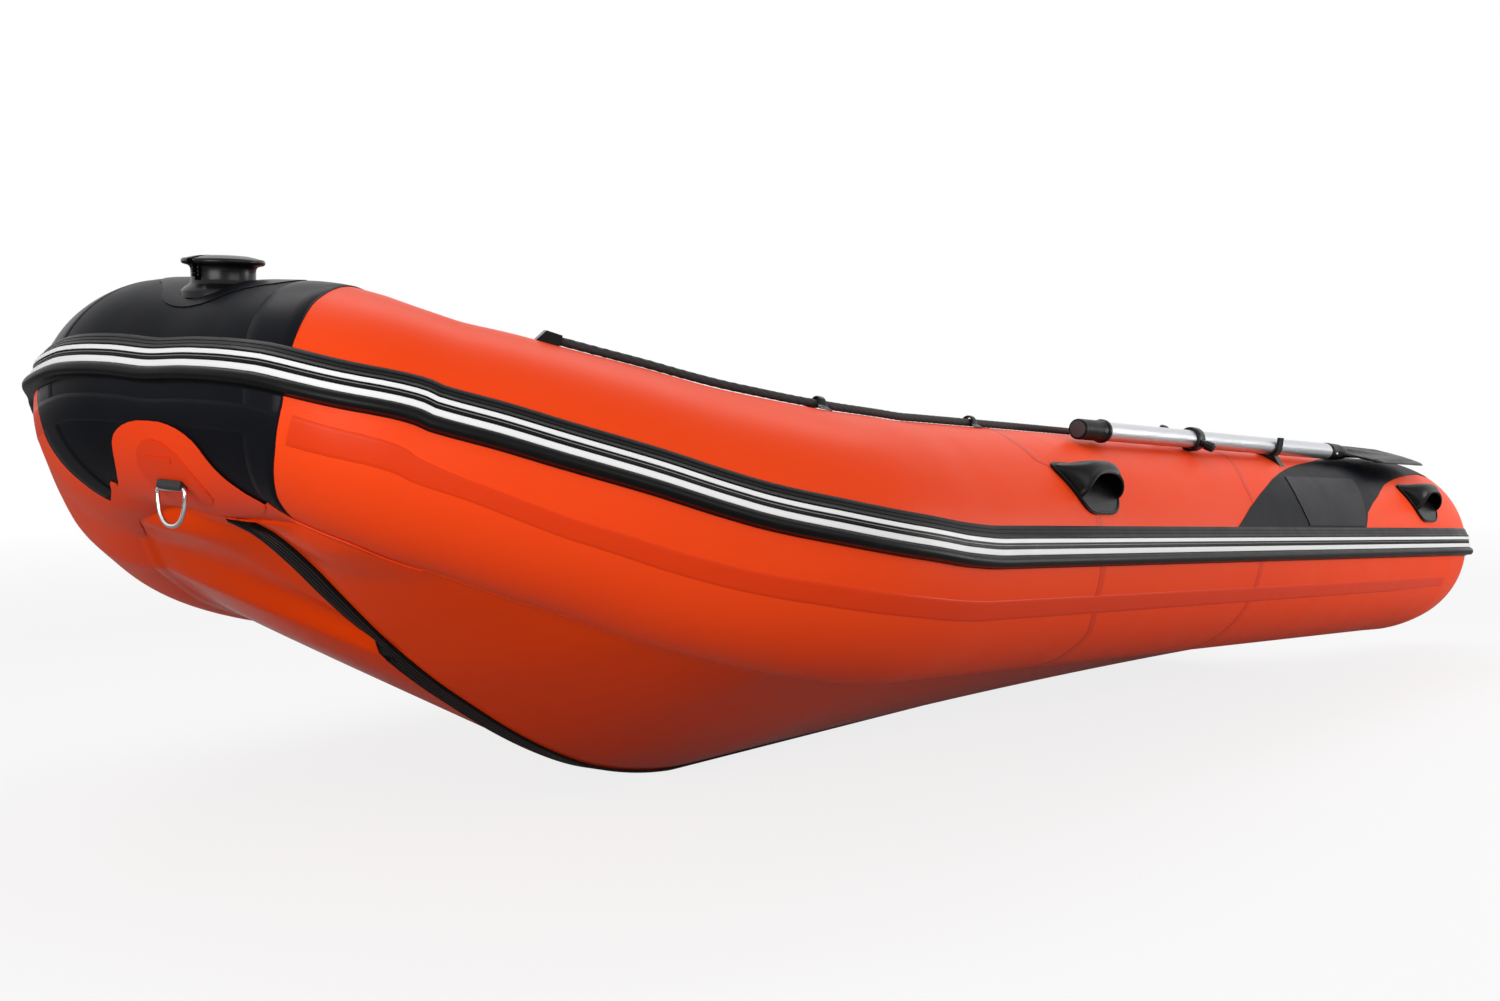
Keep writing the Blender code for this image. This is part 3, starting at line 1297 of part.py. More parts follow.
def lifeline_route():
    """Route of the port lifeline along the crest, from the wedge through both eyelets to the aft fitting."""
    aft_share = (LIFELINE_AFT_X - STRAIGHT_LENGTH) / BOW_REACH
    knots = [LIFELINE_FORE, *EYELET_PLACES, (aft_share, LIFELINE_AFT_ANGLE)]
    points = []
    for (share_a, angle_a), (share_b, angle_b) in zip(knots, knots[1:]):
        length = BOW_REACH * abs(share_b - share_a)
        count = max(2, round(length / LIFELINE_STEP))
        for i in range(count):
            t = i / count
            station = bend_station(share_a + (share_b - share_a) * t)
            points.append(station.point(angle_a + (angle_b - angle_a) * t, ROPE_HEIGHT))
    last = bend_station(aft_share)
    points.append(last.point(LIFELINE_AFT_ANGLE, ROPE_HEIGHT))
    points[0] = points[0] + (points[1] - points[0]).normalized() * (WEDGE_LENGTH / 2 + ROPE_END_GAP)
    points[-1] = points[-1] + (points[-2] - points[-1]).normalized() * (AFT_DOME_RADIUS + ROPE_END_GAP)
    return points


def lifelines():
    both_sides("lifeline", bar(lifeline_route(), ROPE_RADIUS), "black_rope")


def pad_axes(station, angle):
    """Axes on a section: X along the lifeline over it, Y square to X, Z away from the fabric."""
    away = station.out * cos(radians(angle)) + station.rise * sin(radians(angle))
    foot = station.point(angle)
    route = lifeline_route()
    nearest = min(range(1, len(route) - 1), key=lambda i: (route[i] - foot).length)
    ahead = (route[nearest - 1] - route[nearest + 1]).normalized()
    ahead = (ahead - away * ahead.dot(away)).normalized()
    return axes_at(foot, ahead, away.cross(ahead))


def eyelets():
    """Arches over the lifeline with feet on the tube."""
    inner = ROPE_RADIUS + ROPE_CLEARANCE
    outer = inner + EYELET_WALL
    toe = outer + EYELET_FOOT
    half = [(inner, GAP), (toe, -GAP), (toe, EYELET_WALL / 2), (outer, EYELET_WALL)]
    outline = half + arc((0, ROPE_HEIGHT), outer, 0, 180, 9)
    outline += [(-across, lift) for across, lift in reversed(half)]
    outline += arc((0, ROPE_HEIGHT), inner, 180, 0, 9)
    for name, (share, angle) in zip(("eyelet_fore", "eyelet_aft"), EYELET_PLACES):
        station = bend_station(share)
        frame = pad_axes(station, angle)
        section = frame @ Matrix.Rotation(radians(90), 4, "Z") @ Matrix.Rotation(radians(90), 4, "X")
        lifted = Matrix.Translation(frame.to_3x3() @ Vector((0, 0, GAP)))
        both_sides(name, plate(outline, 2 * EYELET_HALF_LENGTH, lifted @ section), "black_plastic")


def line_ends():
    """Wedge that holds the lifeline's fore end and dome that holds its aft end."""
    share, angle = LIFELINE_FORE
    frame = pad_axes(bend_station(share), angle)
    half = WEDGE_LENGTH / 2
    outline = [(-half, GAP), (half, GAP), (half - WEDGE_TOP, WEDGE_HEIGHT), (-half, WEDGE_HEIGHT)]
    section = frame @ Matrix.Rotation(radians(90), 4, "X")
    lifted = Matrix.Translation(frame.to_3x3() @ Vector((0, 0, 3 * GAP)))
    both_sides("line_end_fore", plate(outline, 2 * WEDGE_HALF_WIDTH, lifted @ section), "black_plastic")
    profile = [(0, AFT_DOME_HEIGHT)]
    crown = AFT_DOME_HEIGHT - AFT_DOME_FOOT
    for a in AFT_DOME_ANGLES:
        height = AFT_DOME_FOOT + crown * cos(radians(a))
        profile.append((AFT_DOME_RADIUS * sin(radians(a)), height))
    profile += [(AFT_DOME_RADIUS, -AFT_DOME_FOOT), (0, -AFT_DOME_FOOT)]
    way = tube_way(LIFELINE_AFT_ANGLE)
    dome = turned(profile, turned_axes(on_tube(LIFELINE_AFT_X, LIFELINE_AFT_ANGLE), way))
    both_sides("line_end_aft", combined(dome, [side_tube_cutter()], "DIFFERENCE"), "black_plastic")


def side_tube_cutter():
    """Round cutter a gap larger than the straight side tube."""
    radius = TUBE_RADIUS + GAP
    ends = (CONE_START, STRAIGHT_LENGTH)
    profile = [(0, ends[1]), (radius, ends[1]), (radius, ends[0]), (0, ends[0])]
    return turned(profile, turned_axes((0, HALF_SPACING, 0), (1, 0, 0)), 2 * TUBE_SIDES)


def bow_tube_cutter():
    """Round cutter a gap larger than the bow tube's middle part."""
    radius = BOW_TUBE_RADIUS + GAP
    reach = HALF_SPACING * BEND_SHARES[-2][1]
    profile = [(0, reach), (radius, reach), (radius, -reach), (0, -reach)]
    return turned(profile, turned_axes(BOW_MIDDLE.centre, (0, 1, 0)), 2 * TUBE_SIDES)


def arch_row(x, angle, across, half_length, low, high):
    """Half ellipse over the tube at one height of a handle."""
    row = []
    for a in spread(0, 180, HANDLE_ARC_POINTS):
        along = half_length * cos(radians(a))
        lift = low + (high - low) * sin(radians(a))
        row.append(wrapped(x + along, angle, across, lift))
    return row


def arched(x, angle, shares, low, top):
    """Body through arches given as shares of a handle's half height, half width and hood."""
    return loft([
        arch_row(
            x, angle, HANDLE_HALF_HEIGHT * row, HANDLE_TOP_HALF * half, low, top + HANDLE_HOOD_HEIGHT * high
        )
        for row, half, high in shares
    ])


def carry_handle(x, angle):
    """Trapezoid base with a hood that opens downwards for the fingers."""
    rows = spread(-HANDLE_HALF_HEIGHT, HANDLE_HALF_HEIGHT, 5)
    seat = seat_lift(degrees((rows[1] - rows[0]) / TUBE_RADIUS))
    rings = []
    for across in rows:
        share = (across + HANDLE_HALF_HEIGHT) / (2 * HANDLE_HALF_HEIGHT)
        half = HANDLE_FOOT_HALF + (HANDLE_TOP_HALF - HANDLE_FOOT_HALF) * share
        corners = ((-half, seat), (half, seat), (half, seat + HANDLE_BASE), (-half, seat + HANDLE_BASE))
        rings.append([wrapped(x + along, angle, across, lift) for along, lift in corners])
    base = loft(rings)
    low = seat + HANDLE_BASE / 2
    top = seat + HANDLE_BASE
    hood = arched(x, angle, HANDLE_HOOD_SHARES, low, top)
    pocket = arched(x, angle, HANDLE_POCKET_SHARES, top, top)
    return combined(combined(base, [hood], "UNION"), [pocket], "DIFFERENCE")


def carry_handles():
    for name, (x, angle) in zip(("handle_fore", "handle_aft"), HANDLE_PLACES):
        both_sides(name, carry_handle(x, angle), "black_rubber")


def bollard():
    """Round bollard with a slot that jams a rope, on a flange that follows the bow tube."""
    way = Vector((cos(radians(BOLLARD_ANGLE)), 0, sin(radians(BOLLARD_ANGLE))))
    foot = BOW_MIDDLE.centre + way * BOW_TUBE_RADIUS
    lip_low = BOLLARD_HEIGHT - BOLLARD_LIP_THICKNESS
    third = BOLLARD_LIP_THICKNESS / 3
    sunk = BOLLARD_FLANGE_RADIUS ** 2 / BOW_TUBE_RADIUS
    profile = [
        (0, BOLLARD_HEIGHT - BOLLARD_DISH / 2),
        (BOLLARD_BARREL_RADIUS, BOLLARD_HEIGHT),
        (BOLLARD_LIP_RADIUS - third, BOLLARD_HEIGHT - third / 2),
        (BOLLARD_LIP_RADIUS, BOLLARD_HEIGHT - 1.5 * third),
        (BOLLARD_LIP_RADIUS - third / 2, lip_low + third / 2),
        (BOLLARD_BARREL_RADIUS, lip_low),
        (BOLLARD_BARREL_RADIUS, BOLLARD_FLANGE_THICKNESS),
        (BOLLARD_FLANGE_RADIUS, BOLLARD_FLANGE_THICKNESS - sunk / 2),
        (BOLLARD_FLANGE_RADIUS, -sunk),
        (0, -sunk),
    ]
    axes = turned_axes(foot, way)
    body = turned(profile, axes)
    slot = block(
        (BOLLARD_BARREL_RADIUS - BOLLARD_SLOT_DEPTH, -BOLLARD_SLOT_HALF, BOLLARD_SLOT_FLOOR),
        (BOLLARD_LIP_RADIUS + CUT_OVERRUN, BOLLARD_SLOT_HALF, BOLLARD_HEIGHT + CUT_OVERRUN),
    )
    ahead = Vector((way.z, 0, -way.x))
    slot.transform(axes_at(foot, ahead, (0, 1, 0)))
    place("bollard", combined(body, [bow_tube_cutter(), slot], "DIFFERENCE"), "black_plastic")


def bow_point(angle, y, lift):
    """Point on the bow chamber at a distance from the middle plane."""
    rows = [s.point(angle, lift) for s in (BOW_MIDDLE, STATIONS[-2], STATIONS[-3])]
    first, second = rows[:2] if abs(y) <= rows[1].y else rows[1:]
    point = first.lerp(second, (abs(y) - first.y) / (second.y - first.y))
    return Vector((point.x, y, point.z))


RING_PIVOT_LIFT = 2 * GAP + PATCH_THICKNESS + RING_LOOP_WALL + RING_CLEARANCE + RING_WIRE_RADIUS
RING_PIVOT = bow_point(RING_ANGLE, 0, RING_PIVOT_LIFT)


def ring_patch():
    """Patch under the bow that widens downwards, with the loop that holds the ring's bar."""
    angles = spread(PATCH_TOP_ANGLE, PATCH_END_ANGLE, PATCH_ROWS)
    seat = seat_lift(angles[0] - angles[1], BOW_TUBE_RADIUS)
    rings = []
    for angle in angles:
        share = (angle - PATCH_TOP_ANGLE) / (PATCH_END_ANGLE - PATCH_TOP_ANGLE)
        half = PATCH_TOP_HALF + (PATCH_END_HALF - PATCH_TOP_HALF) * share
        knee = BOW_MIDDLE.centre.y + STATIONS[-2].point(angle, seat).y
        inner = knee if knee < half - PATCH_THICKNESS else half / 2
        across = (half, inner, 0, -inner, -half)
        corners = [(y, seat) for y in across] + [(y, seat + PATCH_THICKNESS) for y in reversed(across)]
        rings.append([bow_point(angle, y, lift) for y, lift in corners])
    patch = loft(rings)
    half = RING_WIRE_RADIUS + RING_CLEARANCE + RING_LOOP_WALL
    way = (RING_PIVOT - BOW_MIDDLE.centre).normalized()
    axes = axes_at(RING_PIVOT, way, (0, 1, 0))
    loop = block((-half - PATCH_THICKNESS / 2, -RING_LOOP_HALF, -half), (half, RING_LOOP_HALF, half))
    loop.transform(axes)
    bore = RING_WIRE_RADIUS + RING_CLEARANCE
    reach = RING_LOOP_HALF + CUT_OVERRUN
    hole = turned(
        [(0, reach), (bore, reach), (bore, -reach), (0, -reach)],
        turned_axes(RING_PIVOT, (0, 1, 0)),
        SMALL_TURN_STEPS,
    )
    patch = combined(combined(patch, [loop], "UNION"), [hole], "DIFFERENCE")
    place("bow_ring_patch", patch, "orange_pvc")


def bow_ring():
    """D-shaped towing ring that hangs from its bar."""
    down = Vector((-sin(PITCH), 0, -cos(PITCH)))
    half = RING_HALF_WIDTH
    points = [RING_PIVOT + Vector((0, y, 0)) for y in spread(half, -half, 5)]
    for a in spread(180, 0, RING_ARC_POINTS):
        across = half * cos(radians(a))
        drop = (RING_DROP - half) + half * sin(radians(a))
        points.append(RING_PIVOT + Vector((0, across, 0)) + down * drop)
    place("bow_ring", bar(points, RING_WIRE_RADIUS, cyclic=True), "chrome", RING_PIVOT)


def valve(foot, way, cutter):
    """Valve body seated on a tube, and the cap that twists on its boss."""
    flange_top = VALVE_FLANGE_THICKNESS
    boss_top = flange_top + VALVE_BOSS_HEIGHT
    body = [
        (0, boss_top),
        (VALVE_BOSS_RADIUS, boss_top),
        (VALVE_BOSS_RADIUS, flange_top),
        (VALVE_FLANGE_RADIUS, flange_top),
        (VALVE_FLANGE_RADIUS, -VALVE_SEAT_DEPTH),
        (0, -VALVE_SEAT_DEPTH),
    ]
    axes = turned_axes(foot, way)
    body = combined(turned(body, axes), [cutter()], "DIFFERENCE")
    ceiling = boss_top + GAP
    top = flange_top + GAP + VALVE_CAP_HEIGHT
    bore = VALVE_BOSS_RADIUS + GAP
    cap = [
        (0, top),
        (VALVE_CAP_RADIUS - VALVE_CAP_WALL / 2, top),
        (VALVE_CAP_RADIUS, top - VALVE_CAP_WALL / 2),
        (VALVE_CAP_RADIUS, flange_top + GAP),
        (bore, flange_top + GAP),
        (bore, ceiling),
        (0, ceiling),
    ]
    grip = block(
        (-VALVE_CAP_RADIUS * VALVE_GRIP_SHARE, -VALVE_CAP_WALL / 2, top - VALVE_CAP_WALL / 4),
        (VALVE_CAP_RADIUS * VALVE_GRIP_SHARE, VALVE_CAP_WALL / 2, top + VALVE_CAP_WALL),
    )
    grip.transform(axes)
    cap = combined(turned(cap, axes), [grip], "UNION")
    return body, cap


def valves():
    foot, way = on_tube(VALVE_X, VALVE_ANGLE), tube_way(VALVE_ANGLE)
    body, cap = valve(foot, way, side_tube_cutter)
    both_sides("valve_body", body, "black_plastic", foot)
    both_sides("valve_cap", cap, "black_plastic", foot)
    foot = bow_point(BOW_VALVE_ANGLE, 0, 0)
    way = (foot - BOW_MIDDLE.centre).normalized()
    body, cap = valve(foot, way, bow_tube_cutter)
    place("valve_body_bow", body, "black_plastic", foot)
    place("valve_cap_bow", cap, "black_plastic", foot)


def stand_on_keel():
    """Pitches the hull until the keel's straight run is level, centres it and sets it on the ground."""
    HULL.rotation_euler = (0, -PITCH, 0)
    HULL.location = (0, 0, 0)
    bpy.context.view_layer.update()
    low = Vector((1, 1, 1)) * (2 * STRAIGHT_LENGTH)
    high = -low
    for obj in PARTS.objects:
        if obj.type != "MESH":
            continue
        for vertex in obj.data.vertices:
            point = obj.matrix_world @ vertex.co
            low = Vector(map(min, low, point))
            high = Vector(map(max, high, point))
    HULL.location = (-(low.x + high.x) / 2, 0, -low.z)


PITCH = atan(KEEL_SLOPE)

tubes()
rub_rail()
hull_skin()
keel_guard()
transom()
motor_plate()
drain()
floor()
keel_tube()
seat_tracks()
benches()
oar_shaft()
oar_grip()
oar_blade()
oarlock_base()
oarlock_yoke()
oar_collar()
oar_knob()
oar_clip()
lifelines()
eyelets()
line_ends()
carry_handles()
bollard()
ring_patch()
bow_ring()
valves()
stand_on_keel()
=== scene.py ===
from math import atan, atan2, copysign, cos, degrees, exp, pi, radians, sin, sqrt

import bmesh
import bpy
import numpy as np
from mathutils import Matrix, Vector


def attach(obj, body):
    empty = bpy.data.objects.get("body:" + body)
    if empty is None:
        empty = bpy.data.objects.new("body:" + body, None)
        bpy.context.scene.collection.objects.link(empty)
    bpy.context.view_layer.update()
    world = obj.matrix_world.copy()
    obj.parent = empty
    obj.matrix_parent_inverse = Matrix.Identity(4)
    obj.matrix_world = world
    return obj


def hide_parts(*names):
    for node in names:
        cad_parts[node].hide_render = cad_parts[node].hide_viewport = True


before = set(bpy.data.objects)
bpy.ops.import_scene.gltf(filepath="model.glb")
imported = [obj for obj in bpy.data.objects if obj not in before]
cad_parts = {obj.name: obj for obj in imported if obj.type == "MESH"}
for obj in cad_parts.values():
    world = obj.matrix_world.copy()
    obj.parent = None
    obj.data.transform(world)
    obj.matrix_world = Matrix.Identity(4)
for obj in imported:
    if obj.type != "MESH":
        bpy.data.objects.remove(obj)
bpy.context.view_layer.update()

# Hull axes: +X from the stern to the bow, +Y to port, +Z up, Z zero at the side tubes' centres
KEEL_SLOPE = 0.0650
PITCH = atan(KEEL_SLOPE)
HULL = Matrix.Translation((-1.53042, 0, 0.29578)) @ Matrix.Rotation(-PITCH, 4, "Y")
HULL_UP = (-sin(PITCH), 0.0, cos(PITCH))
HULL_AHEAD = (cos(PITCH), 0.0, sin(PITCH))
TO_STARBOARD = Matrix.Scale(-1, 4, Vector((0, 1, 0)))
UP = Vector((0, 0, 1))
GAP = 0.0003
EDGE_LIFT = 0.00005
SIDES = (("port", 1), ("starboard", -1))

# Buoyancy tubes
TUBE_RADIUS = 0.210
HALF_SPACING = 0.612
STRAIGHT_LENGTH = 2.39
CONE_START = 0.12
CONE_LENGTH = 0.425
BOW_TUBE_RADIUS = 0.170
BOW_REACH = 0.786
BOW_RISE = 0.195

# Stern cone from its base to its tip: share of its length, share of the tube's radius
CONE_SHARES = (
    (0, 1),
    (0.154, 0.975),
    (0.308, 0.93),
    (0.436, 0.85),
    (0.615, 0.70),
    (0.82, 0.50),
    (0.92, 0.405),
    (0.975, 0.335),
    (1.006, 0.25),
    (1.020, 0.14),
    (1.025, 0.01),
)

# Bow bend from aft to fore: shares of the reach, of the half spacing, of the rise and of the taper
BEND_SHARES = (
    (0, 1, 0, 0),
    (0.132, 1, 0.026, 0.025),
    (0.263, 0.990, 0.072, 0.15),
    (0.391, 0.949, 0.144, 0.275),
    (0.533, 0.863, 0.262, 0.425),
    (0.645, 0.776, 0.402, 0.575),
    (0.772, 0.655, 0.562, 0.725),
    (0.832, 0.588, 0.648, 0.80),
    (0.907, 0.493, 0.750, 0.90),
    (0.959, 0.420, 0.852, 0.96),
    (0.995, 0.289, 0.985, 1),
    (1, 0.147, 1.012, 1),
)

# Starboard shoulder of the bow: degrees round it from the middle, lift in millimetres
SHOULDER_MIDDLE = 2.85
SHOULDER_LIFTS = ((-22, 0), (-10, 2.0), (0, 4.0), (14, 10.0), (28, 15.5), (41, 22.5), (50, 22.0), (58, 11.5), (65, 0))

# Keel line: a straight run and a forefoot that rises to the bow tube
KEEL_DROP_AT_ZERO = 0.2964
FOREFOOT_START = 2.169
FOREFOOT_REACH = 1.014
FOREFOOT_SHARES = (
    (-0.115, 0),
    (0, 0),
    (0.115, 0.027),
    (0.225, 0.079),
    (0.330, 0.158),
    (0.432, 0.254),
    (0.529, 0.361),
    (0.612, 0.458),
    (0.683, 0.552),
    (0.751, 0.650),
    (0.817, 0.754),
    (0.876, 0.850),
    (0.952, 0.955),
    (1, 1),
)
GUARD_THICKNESS = 0.005
GUARD_HALF_WIDTH = 0.029
GUARD_END = 3.178
SKIN_THICKNESS = 0.004
SKIN_START = 0.290
SKIN_ANGLE_AFT = -110.0
SKIN_ANGLE_FORE = -90.0
SKIN_END_SHARES = (0.903, 0.933, 0.9625, 0.992)

# Rub rail: its middle's angle on the tube aft and at the bow
RAIL_ANGLE_AFT = 5.2
RAIL_ANGLE_FORE = 16.8

# Lifeline, its eyelets and its end fittings
ROPE_RADIUS = 0.0060
ROPE_END_GAP = 0.0009
LIFELINE_FORE = (0.800, 86.0)
EYELET_PLACES = ((0.302, 84.0), (-0.291, 85.0))
LIFELINE_AFT_X = 1.231
LIFELINE_AFT_ANGLE = 97.0
LIFELINE_STEP = 0.060
WEDGE_LENGTH = 0.034
AFT_DOME_RADIUS = 0.028


class Station:
    """Section of the port tube: its centre, its axes and its radius."""

    def __init__(self, centre, radius, taper):
        self.centre = centre
        self.radius = radius
        self.taper = taper
        self.along = None
        self.stretch = 1.0

    def aim(self, before, after):
        pairs = ((before, self.centre), (self.centre, after))
        ways = [(b - a).normalized() for a, b in pairs if (b - a).length > 0]
        self.along = sum(ways, Vector()).normalized()
        self.stretch = 1 / self.along.dot(ways[0])
        self.out = UP.cross(self.along).normalized()
        self.rise = self.along.cross(self.out)

    def point(self, angle, lift=0.0):
        """Point at an angle above the outboard side, a lift away from the fabric."""
        reach = self.radius + lift
        a = radians(angle)
        return self.centre + self.out * (reach * self.stretch * cos(a)) + self.rise * (reach * sin(a))


def bend_stations():
    """Sections of the port tube's bend from the end of its straight run to the middle of the bow."""
    found = [Station(Vector((CONE_START, HALF_SPACING, 0)), TUBE_RADIUS, 0.0)]
    for reach_share, half_share, rise_share, taper in BEND_SHARES:
        centre = Vector((
            STRAIGHT_LENGTH + BOW_REACH * reach_share,
            HALF_SPACING * half_share,
            BOW_RISE * rise_share,
        ))
        found.append(Station(centre, TUBE_RADIUS + (BOW_TUBE_RADIUS - TUBE_RADIUS) * taper, taper))
    found.append(Station(Vector((STRAIGHT_LENGTH + BOW_REACH, 0, BOW_RISE)), BOW_TUBE_RADIUS, 1.0))
    centres = [s.centre for s in found]
    for i, station in enumerate(found[1:-1], 1):
        station.aim(centres[i - 1], centres[i + 1])
    middle = found[-1]
    middle.along, middle.out, middle.rise = Vector((0, -1, 0)), Vector((1, 0, 0)), UP.copy()
    return found[1:]


BEND = bend_stations()
BOW_MIDDLE = BEND[-1]


def section_between(first, second, share):
    """Section between two neighbours of the bend."""
    made = Station(first.centre.lerp(second.centre, share), 0, 0)
    made.radius = first.radius + (second.radius - first.radius) * share
    made.along = (second.centre - first.centre).normalized()
    made.out = UP.cross(made.along).normalized()
    made.rise = made.along.cross(made.out)
    return made


def bend_station(reach_share):
    """Section at a share of the bow's reach; shares below zero lie on the straight tube."""
    x = STRAIGHT_LENGTH + BOW_REACH * reach_share
    if reach_share <= 0:
        station = Station(Vector((x, HALF_SPACING, 0)), TUBE_RADIUS, 0.0)
        station.aim(station.centre, station.centre + Vector((1, 0, 0)))
        return station
    for first, second in zip(BEND, BEND[1:]):
        if first.centre.x <= x < second.centre.x:
            break
    share = (x - first.centre.x) / (second.centre.x - first.centre.x)
    return section_between(first, second, share)


def spread(start, stop, count):
    """Evenly spaced numbers from start to stop."""
    return [start + (stop - start) * i / (count - 1) for i in range(count)]


def arc(centre, radius, start, stop, count):
    """Points of an arc between two angles in degrees."""
    return [
        (centre[0] + radius * cos(radians(a)), centre[1] + radius * sin(radians(a)))
        for a in spread(start, stop, count)
    ]


def swollen(value, power):
    """Power of a sine or cosine that keeps its sign; below 1 it makes a round section squarer."""
    return copysign(abs(value) ** power, value)


def other_side(points, sign=-1):
    """The same points across the boat's middle plane, or as they are where the sign is 1."""
    return [Vector((p.x, p.y * sign, p.z)) for p in points]


def smooth_curve(xs, ys, x):
    """Values of a smooth curve through knots, at one or many places."""
    xs, ys = np.asarray(xs, float), np.asarray(ys, float)
    x = np.clip(np.asarray(x, float), xs[0], xs[-1])
    slopes = np.gradient(ys, xs, axis=0)
    i = np.clip(np.searchsorted(xs, x, side="right") - 1, 0, len(xs) - 2)
    width = xs[i + 1] - xs[i]
    t = (x - xs[i]) / width
    if ys.ndim > 1:
        t, width = np.expand_dims(t, -1), np.expand_dims(width, -1)
    start = (1 + 2 * t) * (1 - t) ** 2 * ys[i] + t * (1 - t) ** 2 * width * slopes[i]
    return start + t * t * (3 - 2 * t) * ys[i + 1] + t * t * (t - 1) * width * slopes[i + 1]


LINE_ROWS = 1600


def tube_line():
    """Centre line of the port tube as dense rows: length from the rail's aft end; centre, radius, taper."""
    knots = [
        (CONE_START - CONE_LENGTH * length, HALF_SPACING, 0, TUBE_RADIUS * radius, 0)
        for length, radius in reversed(CONE_SHARES)
    ]
    knots += [(x, HALF_SPACING, 0, TUBE_RADIUS, 0) for x in spread(0.25, STRAIGHT_LENGTH - 0.05, 14)]
    bend = [(*s.centre, s.radius, s.taper) for s in BEND]
    mirrored = [(x, -y, z, r, t) for x, y, z, r, t in reversed(bend[:-1])][:3]
    knots = np.array(knots + bend + mirrored)
    places = knots[0][0] + run_of(knots)
    fine = np.linspace(places[0], places[-1 - len(mirrored)], LINE_ROWS)
    rows = smooth_curve(places, knots, fine)
    return rows[0][0] + run_of(rows), rows


def run_of(rows):
    """Length along a line of points up to each of them."""
    steps = np.linalg.norm(np.diff(rows[:, :3], axis=0), axis=1)
    return np.concatenate([[0], np.cumsum(steps)])


LENGTHS, ROWS = tube_line()
COLUMNS = [np.array(column) for column in ROWS.T]
MIDDLE = float(LENGTHS[-1])
AIM_REACH = 0.006


def line_row(length):
    """Centre, radius and taper of the port tube at a length."""
    return [float(np.interp(length, LENGTHS, column)) for column in COLUMNS]


class Section:
    """Smooth section of the tube at a length from the rail's aft end; past the bow's middle it is mirrored."""

    def __init__(self, length):
        self.mirrored = length > MIDDLE
        if self.mirrored:
            length = 2 * MIDDLE - length
        *centre, self.radius, self.taper = line_row(length)
        self.centre = Vector(centre)
        ahead = line_row(min(length + AIM_REACH, MIDDLE))
        behind = line_row(max(length - AIM_REACH, LENGTHS[0]))
        way = Vector([a - b for a, b in zip(ahead[:3], behind[:3])])
        if length > MIDDLE - AIM_REACH / 2:
            way = Vector((0, -1, 0))
        self.along = way.normalized()
        self.out = UP.cross(self.along).normalized()
        self.rise = self.along.cross(self.out)
        self.turn = 180 / pi / self.radius

    def point(self, angle, lift=0.0):
        """Point at an angle round the section, lifted off the fabric."""
        a = radians(angle)
        reach = self.radius + lift
        point = self.centre + self.out * (reach * cos(a)) + self.rise * (reach * sin(a))
        return Vector((point.x, -point.y, point.z)) if self.mirrored else point

    def away(self, angle):
        """Direction out of the fabric at an angle."""
        a = radians(angle)
        way = self.out * cos(a) + self.rise * sin(a)
        return Vector((way.x, -way.y, way.z)) if self.mirrored else way


def tube_point(length, angle, lift=0.0):
    """Point on the port tube, or on the starboard one past the bow's middle."""
    return Section(length).point(angle, lift)


def steps_along(start, stop, straight=0.05, bend=0.014):
    """Lengths from start to stop, close together round the bend and the cone."""
    places = [start]
    while places[-1] < stop - 1e-6:
        here = places[-1] if places[-1] < MIDDLE else 2 * MIDDLE - places[-1]
        step = straight if 0.15 <= here < STRAIGHT_LENGTH - straight else bend
        places.append(places[-1] + step)
    places[-1] = stop
    if places[-1] - places[-2] < 0.002:
        places.pop(-2)
    return places


# ---------------------------------------------------------------- finishes


class Signal:
    """Output of a shader node; arithmetic on it adds the Math nodes that work it out."""

    def __init__(self, tree, socket):
        self.tree = tree
        self.socket = socket

    def maths(self, operation, *values):
        return self.tree.node("ShaderNodeMath", {"operation": operation}, dict(enumerate(values)))

    def __add__(self, other):
        return self.maths("ADD", self, other)

    def __radd__(self, other):
        return self.maths("ADD", other, self)

    def __sub__(self, other):
        return self.maths("SUBTRACT", self, other)

    def __rsub__(self, other):
        return self.maths("SUBTRACT", other, self)

    def __mul__(self, other):
        return self.maths("MULTIPLY", self, other)

    def __rmul__(self, other):
        return self.maths("MULTIPLY", other, self)

    def wave(self):
        return self.maths("SINE", self)

    def size(self):
        return self.maths("ABSOLUTE", self)

    def larger(self, other):
        return self.maths("MAXIMUM", self, other)

    def kept(self):
        """The value held between 0 and 1."""
        return self.tree.node("ShaderNodeClamp", {}, {0: self})


class Tree:
    """Shader nodes of a material or of the world, added one by one."""

    def __init__(self, owner):
        owner.use_nodes = True
        self.nodes = owner.node_tree.nodes
        self.links = owner.node_tree.links

    def feed(self, socket, value):
        if isinstance(value, Signal):
            self.links.new(value.socket, socket)
        else:
            socket.default_value = value

    def node(self, kind, settings=None, sockets=None, output=0):
        """Adds a node: its settings first, then the values or links of its sockets."""
        node = self.nodes.new(kind)
        for label, value in (settings or {}).items():
            setattr(node, label, value)
        for key, value in (sockets or {}).items():
            self.feed(node.inputs[key], value)
        return Signal(self, node.outputs[output])

    def surface(self, share, first, second):
        """Shows a mix of two shaders, the second by its share."""
        mix = self.node("ShaderNodeMixShader", {}, {0: share, 1: first, 2: second})
        output = next(node for node in self.nodes if node.type in ("OUTPUT_MATERIAL", "OUTPUT_WORLD"))
        self.feed(output.inputs["Surface"], mix)


